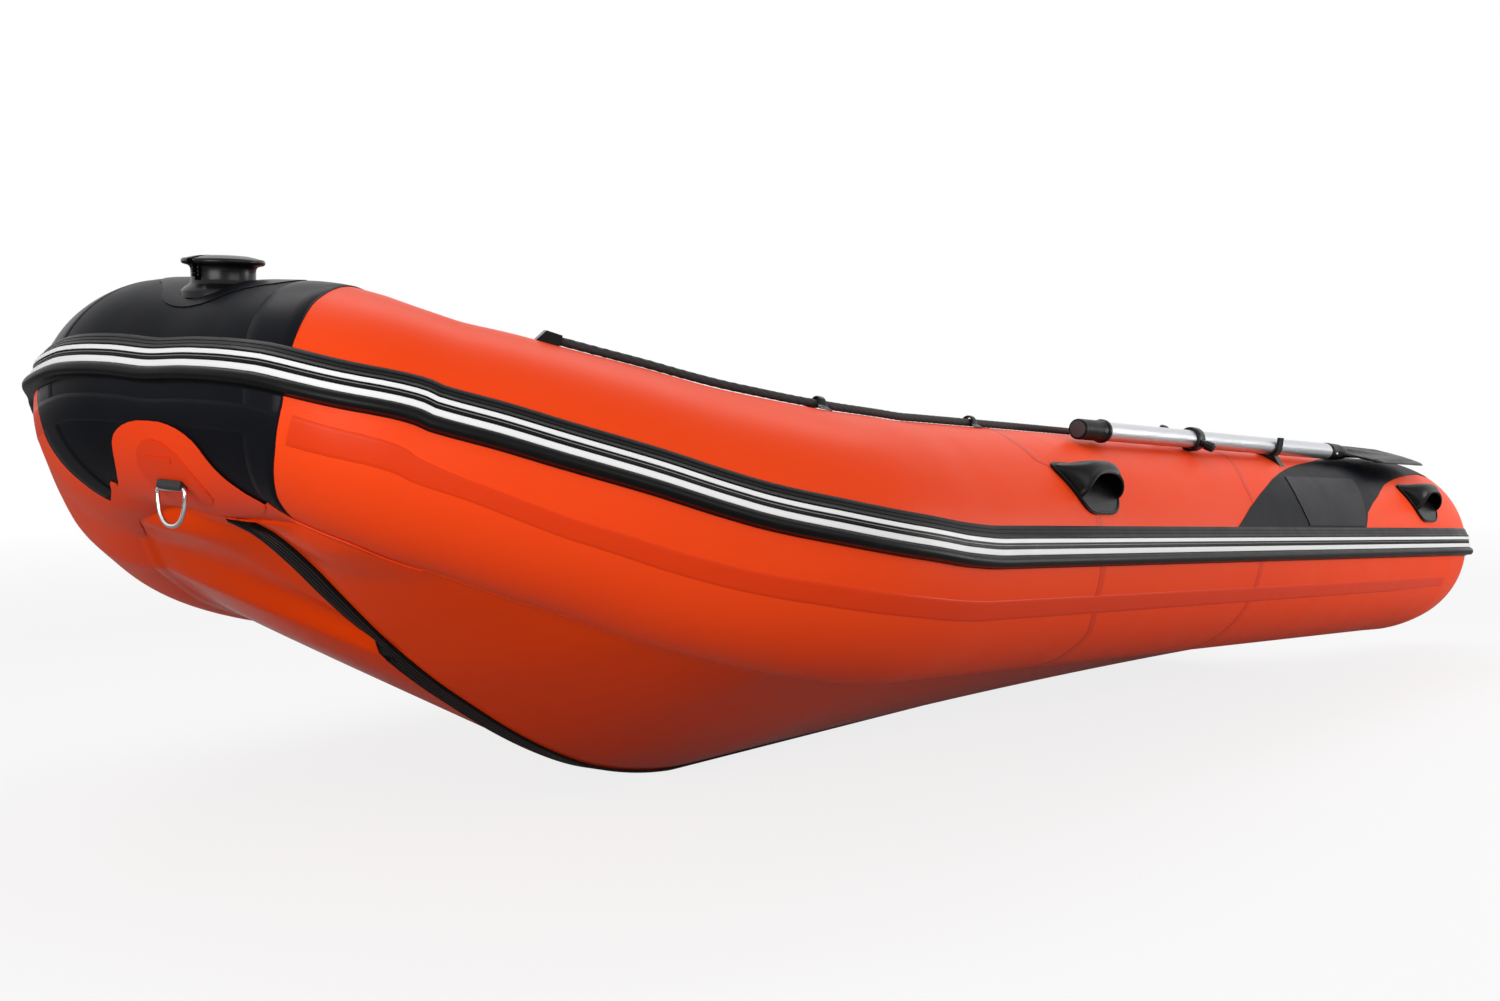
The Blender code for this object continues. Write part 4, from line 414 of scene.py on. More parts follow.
class Finish(Tree):
    """Material whose nodes are added one by one round its main shader."""

    def __init__(self, name, roughness=0.5, metallic=0.0, **constants):
        self.material = bpy.data.materials.new(name)
        super().__init__(self.material)
        self.shader = self.nodes["Principled BSDF"]
        self.shader.inputs["Roughness"].default_value = roughness
        self.shader.inputs["Metallic"].default_value = metallic
        for label, value in constants.items():
            self.shader.inputs[label.replace("_", " ")].default_value = value

    def place(self):
        """Place on the piece in its own axes."""
        return self.node("ShaderNodeTexCoord", output="Object")

    def stretched(self, vector, scale):
        return self.node("ShaderNodeVectorMath", {"operation": "MULTIPLY"}, {0: vector, 1: scale})

    def part(self, vector, index):
        return self.node("ShaderNodeSeparateXYZ", {}, {0: vector}, output=index)

    def noise(self, scale, detail=2.0, roughness=0.5, vector=None):
        vector = vector or self.place()
        sockets = {"Vector": vector, "Scale": scale, "Detail": detail, "Roughness": roughness}
        return self.node("ShaderNodeTexNoise", {}, sockets)

    def between(self, value, low, high, new_low=0.0, new_high=1.0):
        """The value taken from one range to another and held there."""
        return self.node("ShaderNodeMapRange", {}, {0: value, 1: low, 2: high, 3: new_low, 4: new_high})

    def along(self, vector, way):
        """Length of a vector along a direction."""
        return self.node("ShaderNodeVectorMath", {"operation": "DOT_PRODUCT"}, {0: vector, 1: way}, output="Value")

    def mixed(self, first, second, factor):
        sockets = {0: factor, 6: opaque(first), 7: opaque(second)}
        return self.node("ShaderNodeMix", {"data_type": "RGBA"}, sockets, output=2)

    def colour(self, value):
        self.feed(self.shader.inputs["Base Color"], opaque(value))

    def roughness(self, value):
        self.feed(self.shader.inputs["Roughness"], value)

    def bump(self, height, distance, strength=1.0):
        sockets = {"Height": height, "Distance": distance, "Strength": strength}
        self.feed(self.shader.inputs["Normal"], self.node("ShaderNodeBump", {}, sockets))


def opaque(colour):
    """Plain colours get the fourth number that a socket asks for."""
    return (*colour, 1) if isinstance(colour, tuple) and len(colour) == 3 else colour


def coated_fabric(name, base, deep, roughness, specular=0.3, grain=0.00006, waviness=0.0006, scuffs=0.0):
    """Coated PVC fabric: broad waviness, a fine grain, uneven shine and a few scuffs."""
    made = Finish(name, roughness, Specular_IOR_Level=specular, IOR=1.32)
    cloud = made.noise(2.2, 3.0)
    made.colour(made.mixed(base, deep, made.between(cloud, 0.40, 0.75, 0.0, 0.45)))
    sheen = made.noise(9.0, 4.0, 0.6)
    shine = made.between(sheen, 0.3, 0.7, roughness - 0.035, roughness + 0.045)
    if scuffs:
        rubbed = made.noise(60.0, 6.0, 0.75, made.stretched(made.place(), (1.0, 1.0, 2.6)))
        shine = shine - made.between(rubbed, 0.62, 0.72, 0.0, scuffs)
    made.roughness(shine)
    fine = made.noise(900.0, 2.0, 0.6)
    broad = made.noise(5.0, 2.0, 0.5)
    made.bump(fine * grain + broad * waviness, 1.0)
    return made.material


def moulded(name, colour, roughness, grain=0.00008, spread_of_shine=0.05, worn=(0.012, 0.012, 0.013), specular=0.5):
    """Moulded rubber or plastic: fine texture, slightly worn high spots."""
    made = Finish(name, roughness, Specular_IOR_Level=specular)
    patches = made.noise(26.0, 5.0, 0.65)
    made.colour(made.mixed(colour, worn, made.between(patches, 0.55, 0.85, 0.0, 0.5)))
    made.roughness(made.between(patches, 0.3, 0.7, roughness - spread_of_shine, roughness + spread_of_shine))
    made.bump(made.noise(1400.0, 2.0, 0.6) * grain, 1.0)
    return made.material


FABRIC = {
    "orange": coated_fabric(
        "orange coated fabric", (0.94, 0.067, 0.0085), (0.88, 0.055, 0.0065), 0.40, specular=0.19),
    "orange tape": coated_fabric(
        "orange seam tape", (0.78, 0.048, 0.0065), (0.74, 0.042, 0.0060), 0.34, specular=0.20),
    "bottom": coated_fabric(
        "glossy bottom fabric", (0.92, 0.064, 0.003), (0.86, 0.052, 0.002), 0.15, specular=0.05, waviness=0.0014),
    "black": coated_fabric(
        "black coated fabric", (0.0042, 0.0046, 0.0068), (0.0070, 0.0076, 0.0105), 0.40, specular=0.10, scuffs=0.10),
    "black tape": coated_fabric(
        "black seam tape", (0.0048, 0.0052, 0.0075), (0.0080, 0.0086, 0.0115), 0.33, specular=0.13, scuffs=0.08),
    "patch": coated_fabric(
        "orange patch fabric", (0.90, 0.060, 0.008), (0.84, 0.050, 0.007), 0.38, specular=0.19),
}
RUBBER = moulded("black extruded rubber", (0.0040, 0.0040, 0.0046), 0.36, specular=0.11)
HANDLE_RUBBER = moulded("black moulded rubber", (0.0040, 0.0040, 0.0045), 0.31, grain=0.00014, specular=0.15)
PLASTIC = moulded("black moulded plastic", (0.0040, 0.0040, 0.0045), 0.27, grain=0.00003, specular=0.22)
BLADE_PLASTIC = moulded(
    "black blade plastic", (0.0022, 0.0022, 0.0026), 0.30, grain=0.00003, worn=(0.004, 0.004, 0.005), specular=0.05)
WHITE_RUBBER = moulded("white stripe rubber", (0.88, 0.88, 0.87), 0.40, worn=(0.80, 0.80, 0.79))
GREY_RUBBER = moulded("grey line rubber", (0.16, 0.16, 0.17), 0.42, worn=(0.20, 0.20, 0.20))


# ---------------------------------------------------------------- making pieces


def lifted_shoulder(mesh):
    """Raises the starboard shoulder of the bow, which is blown up fuller than the port one."""
    degrees_round, lifts = zip(*SHOULDER_LIFTS)
    for vertex in mesh.vertices:
        ahead = vertex.co.x - SHOULDER_MIDDLE
        if ahead > 0:
            round_bow = degrees(atan2(-vertex.co.y, ahead))
            if degrees_round[0] < round_bow < degrees_round[-1]:
                vertex.co.z += float(smooth_curve(degrees_round, lifts, round_bow)) / 1000


def piece(name, mesh, materials, body="hull", smooth=35, replaced=()):
    """Names a mesh given in hull axes, takes it into the frame's axes, finishes it and sets it on its body."""
    obj = placed(name, mesh, body, replaced)
    for material in materials if isinstance(materials, list) else [materials]:
        mesh.materials.append(material)
    if smooth is not None:
        mesh.shade_smooth()
        mesh.set_sharp_from_angle(angle=radians(smooth))
    return obj


def placed(name, mesh, body, replaced):
    """Takes a finished mesh from hull axes into the frame's axes and sets it on its body."""
    if body == "hull":
        lifted_shoulder(mesh)
    mesh.transform(HULL)
    obj = bpy.data.objects.new(name, mesh)
    bpy.context.scene.collection.objects.link(obj)
    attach(obj, body)
    if replaced:
        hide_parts(*replaced)
    return obj


def both_sides(stem, mesh, materials, body="hull", smooth=35, nodes=(), bevel=None):
    """Makes a port piece and its starboard twin; nodes are the stems of the CAD nodes they stand for."""
    port = piece(stem + "_port", mesh, materials, body.format("port"), smooth, [n + "_port" for n in nodes])
    twin_mesh = port.data.copy()
    twin_mesh.transform(TO_STARBOARD @ HULL.inverted())
    replaced = [n + "_starboard" for n in nodes]
    twin = placed(stem + "_starboard", twin_mesh, body.format("starboard"), replaced)
    twin_mesh.flip_normals()
    if bevel:
        softened(port, bevel)
        softened(twin, bevel)


def softened(obj, width, segments=2, angle=35):
    """Bevel modifier that rounds a piece's sharp edges."""
    step = obj.modifiers.new("rounded edges", "BEVEL")
    step.width = width
    step.segments = segments
    step.limit_method = "ANGLE"
    step.angle_limit = radians(angle)


def mesh_of(bm):
    """Mesh of a finished bmesh, its faces turned outwards."""
    bmesh.ops.recalc_face_normals(bm, faces=bm.faces)
    mesh = bpy.data.meshes.new("mesh")
    bm.to_mesh(mesh)
    bm.free()
    return mesh


def loft(rings, closed=True, joined=False, merged=False, capped=None):
    """Body or sheet through rings of the same number of points; open rings give a sheet, joined rings a hoop."""
    bm = bmesh.new()
    grid = [[bm.verts.new(point) for point in ring] for ring in rings]
    count = len(rings[0])
    rows = list(zip(grid, grid[1:])) + ([(grid[-1], grid[0])] if joined else [])
    for ring, following in rows:
        for i in range(count if closed else count - 1):
            j = (i + 1) % count
            bm.faces.new((ring[i], ring[j], following[j], following[i]))
    if capped or (capped is None and closed and not joined):
        bm.faces.new(list(reversed(grid[0])))
        bm.faces.new(grid[-1])
    if merged:
        bmesh.ops.remove_doubles(bm, verts=bm.verts, dist=1e-6)
    return mesh_of(bm)


def oriented(mesh, away):
    """Turns an open sheet's faces to the side that a function of a point gives."""
    bm = bmesh.new()
    bm.from_mesh(mesh)
    score = sum(f.normal.dot(away(f.calc_center_median())) * f.calc_area() for f in bm.faces)
    if score < 0:
        bmesh.ops.reverse_faces(bm, faces=bm.faces)
    bm.to_mesh(mesh)
    bm.free()
    return mesh


def turned(profile, axes, steps=48, closed=False):
    """Solid of revolution about Z from (radius, height) points, set in the given axes."""
    turns = [2 * pi * i / steps for i in range(steps)]
    mesh = loft([[(r * cos(a), r * sin(a), h) for r, h in profile] for a in turns], closed, joined=True, merged=True)
    mesh.transform(axes)
    return mesh


def bead(centre, side, other, width, height, count):
    """Points of a round or oval section about a centre."""
    turns = [2 * pi * k / count for k in range(count)]
    return [centre + side * (width * cos(a)) + other * (height * sin(a)) for a in turns]


def columns(x_axis, y_axis, z_axis, origin):
    """Matrix whose columns are three directions and an origin."""
    return Matrix((*zip(x_axis, y_axis, z_axis, origin), (0, 0, 0, 1)))


def axes_at(origin, x_axis, y_axis):
    """Axes at an origin from two given directions and their cross product."""
    x_axis = Vector(x_axis).normalized()
    z_axis = x_axis.cross(Vector(y_axis)).normalized()
    return columns(x_axis, z_axis.cross(x_axis), z_axis, origin)


def turned_axes(origin, direction):
    """Axes whose Z is the given direction, for a turned piece."""
    direction = Vector(direction).normalized()
    side = Vector((0, 1, 0)).cross(direction)
    if side.length < 0.1:
        side = Vector((1, 0, 0))
    return axes_at(origin, side, direction.cross(side))


def ribbon(low, high, edge, lift, count):
    """Places across a ribbon with their lifts, its edges pressed down to the fabric."""
    places = [low, low + edge, *spread(low, high, count)[1:-1], high - edge, high]
    lifts = [EDGE_LIFT, *[lift] * (len(places) - 2), EDGE_LIFT]
    return list(zip(places, lifts))


def band(table, lift, bend=0.014, edge=0.0012):
    """Ribbon along the tube from rows of (length, low angle, high angle)."""
    xs, lows, highs = zip(*table)
    rings = []
    for length in steps_along(xs[0], xs[-1], 0.05, bend):
        section = Section(length)
        low, high = float(np.interp(length, xs, lows)), float(np.interp(length, xs, highs))
        rings.append([section.point(a, h) for a, h in ribbon(low, high, edge * section.turn, lift, 7)])
    return loft(rings, closed=False)


def length_at(table, angle):
    """Length at an angle from rows of (length, angle)."""
    rows = sorted((a, s) for s, a in table)
    return float(np.interp(angle, [a for a, _ in rows], [s for _, s in rows]))


def hoop(table, half_width, lift):
    """Ribbon round the tube from rows of (length, angle), such as a seam's tape."""
    first, last = table[0][1], table[-1][1]
    across = ribbon(-half_width, half_width, 0.001, lift, 5)
    rings = []
    for angle in spread(first, last, max(8, int(abs(last - first) / 3))):
        length = length_at(table, angle)
        rings.append([tube_point(length + d, angle, h) for d, h in across])
    return loft(rings, closed=False)


def rounded_outline(corners, radius, count=6):
    """Closed outline with rounded corners, in the plane of the corners."""
    made = []
    corners = [Vector(c) for c in corners]
    for i, corner in enumerate(corners):
        ends = []
        for neighbour in (corners[i - 1], corners[(i + 1) % len(corners)]):
            side = neighbour - corner
            ends.append(corner + side.normalized() * min(radius, side.length * 0.45))
        for t in spread(0, 1, count):
            made.append(ends[0].lerp(corner, t).lerp(corner.lerp(ends[1], t), t))
    return made


def applique(outline, lift, cell=0.016, radius=TUBE_RADIUS, wall=0.0004, mirror=False):
    """Piece of fabric glued to the tube; its outline is (length, arc length above the outboard side)."""
    bm = bmesh.new()
    face = bm.faces.new([bm.verts.new((x, y, 0)) for x, y in outline])
    if face.normal.z < 0:
        face.normal_flip()
    bmesh.ops.triangulate(bm, faces=bm.faces)
    xs, ys = [p[0] for p in outline], [p[1] for p in outline]
    for values, normal in ((xs, Vector((1, 0, 0))), (ys, Vector((0, 1, 0)))):
        for i in range(1, int((max(values) - min(values)) / cell) + 1):
            place = normal * (min(values) + i * cell)
            geometry = bm.verts[:] + bm.edges[:] + bm.faces[:]
            bmesh.ops.bisect_plane(bm, geom=geometry, plane_co=place, plane_no=normal, dist=1e-6)
    bmesh.ops.remove_doubles(bm, verts=bm.verts, dist=0.0002)
    bm.normal_update()
    border = [e for e in bm.edges if e.is_boundary]
    walls = bmesh.ops.extrude_edge_only(bm, edges=border)["geom"]
    lowered = {v for v in walls if isinstance(v, bmesh.types.BMVert)}
    bm.faces.index_update()
    wall_faces = {f for v in lowered for f in v.link_faces}
    ways = {}
    for vertex in bm.verts:
        length, across = vertex.co.x, vertex.co.y
        section = Section(length)
        angle = degrees(across / radius)
        point = section.point(angle, lift - wall if vertex in lowered else lift)
        way = section.away(angle)
        if mirror:
            point.y, way.y = -point.y, -way.y
        vertex.co = point
        ways[vertex] = way
    bm.normal_update()
    middle = sum(f.normal.dot(ways[f.verts[0]]) for f in bm.faces if f not in wall_faces)
    if middle < 0:
        bmesh.ops.reverse_faces(bm, faces=bm.faces)
        bm.normal_update()
    bm.verts.index_update()
    bm.faces.ensure_lookup_table()
    normals = []
    for face in bm.faces:
        for loop in face.loops:
            normals.append(face.normal.copy() if face in wall_faces else ways[loop.vert])
    mesh = bpy.data.meshes.new("applique")
    bm.to_mesh(mesh)
    bm.free()
    mesh.shade_smooth()
    mesh.normals_split_custom_set(normals)
    return mesh


def arc_place(length, angle, radius=TUBE_RADIUS):
    """Place on a glued piece's outline from a length along the tube and an angle on it."""
    return (length, radians(angle) * radius)


# ---------------------------------------------------------------- camera and lifelines


CAMERA_PLACE = (3.5854, 2.3542, 0.7338)
CAMERA_AHEAD = (-0.8048, -0.5903, -0.0620)
CAMERA_TILT = -0.0036
CAMERA_LENS = 48.72


def camera():
    """Camera at the viewing place, its lens from the boat's known proportions."""
    data = bpy.data.cameras.new("camera")
    data.sensor_width = 36
    data.lens = CAMERA_LENS
    data.clip_end = 60
    obj = bpy.data.objects.new("camera", data)
    ahead = Vector(CAMERA_AHEAD).normalized()
    right = ahead.cross(UP).normalized()
    right = (right + Vector((0, 0, CAMERA_TILT))).normalized()
    top = right.cross(ahead).normalized()
    right = ahead.cross(top)
    obj.matrix_world = columns(right, top, -ahead, CAMERA_PLACE)
    bpy.context.scene.collection.objects.link(obj)
    bpy.context.scene.camera = obj


def lifeline_route():
    """Route of the port lifeline along the crest, from the wedge through both eyelets to the aft fitting."""
    height = ROPE_RADIUS + 3 * GAP
    aft_share = (LIFELINE_AFT_X - STRAIGHT_LENGTH) / BOW_REACH
    knots = [LIFELINE_FORE, *EYELET_PLACES, (aft_share, LIFELINE_AFT_ANGLE)]
    points = []
    for (share_a, angle_a), (share_b, angle_b) in zip(knots, knots[1:]):
        length = BOW_REACH * abs(share_b - share_a)
        count = max(2, round(length / LIFELINE_STEP))
        for i in range(count):
            t = i / count
            station = bend_station(share_a + (share_b - share_a) * t)
            points.append(station.point(angle_a + (angle_b - angle_a) * t, height))
    points.append(bend_station(aft_share).point(LIFELINE_AFT_ANGLE, height))
    points[0] = points[0] + (points[1] - points[0]).normalized() * (WEDGE_LENGTH / 2 + ROPE_END_GAP)
    points[-1] = points[-1] + (points[-2] - points[-1]).normalized() * (AFT_DOME_RADIUS + ROPE_END_GAP)
    return points


def smooth_path(points, step):
    """Evenly spaced points on a smooth curve through the given ones."""
    knots = np.array([tuple(p) for p in points])
    places = run_of(knots)
    rows = smooth_curve(places, knots, np.linspace(0, places[-1], max(2, int(places[-1] / step))))
    return [Vector(row) for row in rows]


def braid(points, radius, around=14, pitch=0.034, strands=4):
    """Rope whose surface rises where its strands cross, along a path of close points."""
    rings = []
    run = 0.0
    side = (points[1] - points[0]).normalized().cross(UP).normalized()
    for i, point in enumerate(points):
        ahead = (points[min(i + 1, len(points) - 1)] - points[max(i - 1, 0)]).normalized()
        side = (side - ahead * side.dot(ahead)).normalized()
        other = ahead.cross(side)
        if i:
            run += (point - points[i - 1]).length
        twist = 2 * pi * strands * run / pitch / 2
        ring = []
        for k in range(around):
            a = 2 * pi * k / around
            strand = max(sin(strands * a + twist), sin(strands * a - twist))
            height = radius * (0.95 + 0.15 * strand)
            ring.append(point + side * (height * cos(a)) + other * (height * sin(a)))
        rings.append(ring)
    return loft(rings)


def rope_finish():
    """Black braided rope, paler on its highest yarns."""
    made = Finish("black braided rope", 0.78)
    yarn = made.noise(700.0, 3.0, 0.7)
    made.colour(made.mixed((0.004, 0.004, 0.004), (0.040, 0.038, 0.038), made.between(yarn, 0.40, 0.75)))
    made.roughness(made.between(yarn, 0.3, 0.7, 0.68, 0.88))
    made.bump(yarn * 0.0005, 1.0)
    return made.material


def lifelines():
    """Both ropes, taut from the wedge at the bow to the dome fitting aft."""
    route = smooth_path(lifeline_route(), 0.0035)
    finish = rope_finish()
    for side, sign in SIDES:
        points = other_side(route, sign)
        rope = piece("lifeline_rope_" + side, braid(points, ROPE_RADIUS), finish, smooth=70,
                     replaced=["lifeline_" + side])


# Half of an eyelet's arch from its foot to its crown: across, up, half width and half thickness
EYELET_ARCH = (
    (0.0215, 0.0006, 0.0125, 0.0006),
    (0.0190, 0.0014, 0.0130, 0.0014),
    (0.0150, 0.0026, 0.0120, 0.0018),
    (0.0115, 0.0052, 0.0095, 0.0019),
    (0.0100, 0.0090, 0.0078, 0.0019),
    (0.0078, 0.0134, 0.0070, 0.0019),
    (0.0042, 0.0163, 0.0066, 0.0019),
    (0.0000, 0.0172, 0.0065, 0.0019),
)


def eyelets():
    """Moulded loops that hold the lifeline down, from spread feet to a narrow crown."""
    rows = np.array([*EYELET_ARCH, *((-across, *rest) for across, *rest in reversed(EYELET_ARCH[:-1]))])
    rows = smooth_curve(np.arange(len(rows)), rows, np.linspace(0, len(rows) - 1, 57))
    turns = [2 * pi * k / 20 for k in range(20)]
    for name, (share, angle) in zip(("eyelet_fore", "eyelet_aft"), EYELET_PLACES):
        station = bend_station(share)
        a = radians(angle)
        up = station.out * cos(a) + station.rise * sin(a)
        side = up.cross(station.along).normalized()
        foot = station.point(angle)
        rings = []
        for i, (across, height, wide, thick) in enumerate(rows):
            before, after = rows[max(i - 1, 0)], rows[min(i + 1, len(rows) - 1)]
            way = (side * (after[0] - before[0]) + up * (after[1] - before[1])).normalized()
            away = way.cross(station.along)
            centre = foot + side * across + up * height
            rings.append([
                centre + station.along * (wide * swollen(cos(t), 0.6)) + away * (thick * swollen(sin(t), 0.8))
                for t in turns
            ])
        both_sides(name + "_loop", loft(rings), PLASTIC, smooth=50, nodes=[name])


camera()
lifelines()
eyelets()


# ---------------------------------------------------------------- tubes


# Seam between the orange and the black fabric: length along the tube and angle on it
BOW_SEAM = ((3.366, 180), (3.363, 90), (3.356, 55), (3.345, 30), (3.330, 1.3), (3.328, -22), (3.332, -50),
            (3.329, -64), (3.325, -180))
SEAM_SHIFTS = (0.0, 0.030)
SEAM_OVERLAP = 0.004
BOW_FABRIC = 0.0006
LAST_ORANGE_RING = 3.30
FIRST_BLACK_RING = 3.374
TUBE_SIDES = 128
TUBE_ANGLES = [360 * i / TUBE_SIDES - 180 for i in range(TUBE_SIDES)]


def seam_length(angle):
    """Length at which the black bow chamber's fabric begins, by the angle on the tube."""
    return length_at(BOW_SEAM, (angle + 180) % 360 - 180)


def side_tubes():
    """Side chambers with their stern cones, up to the seam of the black bow chamber."""
    for (side, sign), shift in zip(SIDES, SEAM_SHIFTS):
        last = LAST_ORANGE_RING - shift
        rings = [[tube_point(s, a) for a in TUBE_ANGLES] for s in steps_along(float(LENGTHS[0]), last, 0.05, 0.013)]
        for t in (0.5, 1.0):
            rings.append([
                tube_point(last + (seam_length(a) + SEAM_OVERLAP - LAST_ORANGE_RING) * t, a) for a in TUBE_ANGLES
            ])
        mesh = loft([other_side(ring, sign) for ring in rings])
        piece("tube_fabric_" + side, mesh, FABRIC["orange"], smooth=60, replaced=["tube_" + side])


def bow_tube():
    """Black bow chamber from seam to seam; its fabric lies over the side tubes' ends."""
    halves = []
    for shift in SEAM_SHIFTS:
        rings = [[tube_point(seam_length(a) - shift, a, h) for a in TUBE_ANGLES] for h in (-0.0004, BOW_FABRIC)]
        for length in steps_along(FIRST_BLACK_RING - shift, MIDDLE, 0.05, 0.011):
            rings.append([tube_point(length, a, BOW_FABRIC) for a in TUBE_ANGLES])
        halves.append(rings)
    mesh = loft(halves[0] + [other_side(ring) for ring in reversed(halves[1][:-1])])
    piece("bow_tube_fabric", mesh, FABRIC["black"], smooth=60, replaced=["tube_bow"])


side_tubes()
bow_tube()


# Outer face of the rail from its top edge down, in millimetres: across, lift, and the finish of the face after
# the point: 0 rubber, 1 grey line, 2 white stripe
RAIL_PROFILE = (
    (31.0, 0.2, 0), (31.0, 1.4, 0), (30.0, 2.4, 0), (24.4, 4.4, 0), (24.0, 3.9, 0), (18.4, 6.3, 0), (18.0, 5.8, 0),
    (13.6, 8.4, 0), (12.6, 9.4, 0), (11.2, 9.6, 0), (10.6, 8.2, 0), (9.8, 8.2, 0),
    (9.4, 10.2, 2), (8.8, 11.0, 2), (3.5, 11.0, 2), (2.9, 10.2, 0), (2.5, 8.2, 0), (0.6, 8.2, 0), (0.2, 9.6, 1),
    (-1.0, 9.6, 0), (-1.4, 8.6, 0), (-2.4, 8.6, 0), (-2.8, 9.6, 0), (-4.4, 9.6, 0), (-4.8, 8.4, 0), (-5.6, 8.4, 0),
    (-6.2, 10.4, 2), (-6.9, 11.2, 2), (-14.4, 11.2, 2), (-15.1, 10.4, 0), (-15.5, 8.8, 0), (-16.2, 8.8, 0),
    *((across, lift, 0) for across, lift in arc((-24.6, 11.2), 8.4, 8, 172, 17)),
    (-33.6, 8.0, 0), (-34.8, 4.6, 0), (-36.6, 2.0, 0), (-36.6, 0.2, 0),
)
RAIL_END_SHARES = {-0.036: 0.35, -0.033: 0.75, -0.028: 0.97, -0.014: 1.0}


def rub_rail():
    """One extruded rail round the whole boat, with two white stripes, a grey line and a round bead."""
    rings = []
    for length in list(RAIL_END_SHARES) + steps_along(0.0, MIDDLE, 0.05, 0.012):
        section = Section(length)
        middle = RAIL_ANGLE_AFT + (RAIL_ANGLE_FORE - RAIL_ANGLE_AFT) * section.taper
        share = RAIL_END_SHARES.get(length, 1.0)
        ring = []
        for across, lift, _ in RAIL_PROFILE:
            across = across * (0.6 + 0.4 * share)
            ring.append(section.point(middle + across / 1000 * section.turn, lift / 1000 * share))
        rings.append(ring)
    rings += [other_side(ring) for ring in reversed(rings[:-1])]
    mesh = loft(rings, closed=False, capped=True)
    for face in mesh.polygons:
        face.material_index = RAIL_PROFILE[face.index % (len(RAIL_PROFILE) - 1)][2]
    oriented(mesh, lambda p: p - Vector((min(max(p.x, 0), 2.6), 0, 0)))
    finishes = [RUBBER, GREY_RUBBER, WHITE_RUBBER]
    piece("rub_rail_extrusion", mesh, finishes, smooth=28, replaced=["rub_rail"])


rub_rail()


# ---------------------------------------------------------------- bottom


STACK = GUARD_THICKNESS + SKIN_THICKNESS + 2 * GAP
KEEL_END_HEIGHT = BOW_RISE - BOW_TUBE_RADIUS - STACK
FOREFOOT_END = FOREFOOT_START + FOREFOOT_REACH
FOREFOOT_RISE = KEEL_END_HEIGHT + KEEL_DROP_AT_ZERO + KEEL_SLOPE * FOREFOOT_END


def keel_height(x):
    """Height of the keel guard's underside."""
    straight = -KEEL_DROP_AT_ZERO - KEEL_SLOPE * x
    share = (x - FOREFOOT_START) / FOREFOOT_REACH
    if share <= 0:
        return straight
    xs, ys = zip(*FOREFOOT_SHARES)
    return straight + FOREFOOT_RISE * float(smooth_curve(xs, ys, share))


def keel_point(x, lift):
    """Point of the middle plane a lift above the keel guard's underside, square to it."""
    reach = FOREFOOT_REACH / 200
    slope = (keel_height(x + reach) - keel_height(x - reach)) / (2 * reach)
    if x < FOREFOOT_START - reach:
        slope = -KEEL_SLOPE
    normal = Vector((-slope, 0, 1)).normalized()
    return Vector((x, 0, keel_height(x))) + normal * lift


def keel_places():
    """Knots that pair a length on the tube with the keel's place under it."""
    lengths = []
    for station in BEND:
        off = np.abs(ROWS[:, 1] - station.centre.y) + np.abs(ROWS[:, 0] - station.centre.x)
        lengths.append(float(LENGTHS[np.argmin(off)]))
    last = len(SKIN_END_SHARES) + 1
    pairs = [(SKIN_START, SKIN_START), (2.0, 2.0), (2.3, 2.3)]
    pairs += [(length, station.centre.x) for length, station in list(zip(lengths, BEND))[1:-last]]
    for length, share in zip(lengths[-last:-1], SKIN_END_SHARES):
        pairs.append((length, FOREFOOT_START + FOREFOOT_REACH * share))
    pairs.append((MIDDLE, FOREFOOT_END))
    return pairs


KEEL_PLACES = keel_places()


def keel_place(length):
    """Place of the keel under a length on the tube."""
    xs, ys = zip(*KEEL_PLACES)
    return float(smooth_curve(xs, ys, length))


SKIN_FLANGE = ((9.0, 0.0002), (8.6, 0.0011), (4.0, 0.0014), (1.6, 0.0026))
SKIN_BULGE = 0.012
FULL_BULGE_WIDTH = 0.35


def skin_angle(section):
    """Angle on the tube at which the bottom leaves it."""
    return SKIN_ANGLE_AFT + (SKIN_ANGLE_FORE - SKIN_ANGLE_AFT) * section.taper


def skin_point(section, length, share):
    """Point of the bottom's outer face at a section: share 0 at the tube, 1 at the keel guard's edge."""
    first = section.point(skin_angle(section), SKIN_THICKNESS + 0.0012)
    low = keel_point(keel_place(length), GUARD_THICKNESS + GAP)
    last = low + Vector((0, min(GUARD_HALF_WIDTH, max(0.0, section.centre.y)), 0))
    run = last - first
    outward = Vector((0, run.z, -run.y)).normalized() if run.length > 1e-5 else Vector((0, 0, -1))
    if outward.z > 0:
        outward = -outward
    bulge = SKIN_BULGE * min(1.0, run.length / FULL_BULGE_WIDTH) * sin(pi * share) ** 0.8 if 0 < share < 1 else 0.0
    return first.lerp(last, share) + outward * bulge


def hull_skin():
    """V-shaped bottom from tube to tube, with flanges glued to the tubes."""
    rings = []
    for length in steps_along(SKIN_START, MIDDLE, 0.05, 0.014):
        section = Section(length)
        half = [section.point(skin_angle(section) + a, h) for a, h in SKIN_FLANGE]
        half += [skin_point(section, length, t) for t in spread(0, 1, 21)]
        rings.append(half + other_side(reversed(half)))
    mesh = oriented(loft(rings, closed=False), lambda p: Vector((0, 0, -1)))
    skin = piece("bottom_skin", mesh, FABRIC["bottom"], smooth=50, replaced=["hull_skin"])
    step = skin.modifiers.new("fabric thickness", "SOLIDIFY")
    step.thickness = SKIN_THICKNESS * 0.7
    step.offset = -1


GUARD_RIBS = 5
PLEATS_LENGTH = 0.05


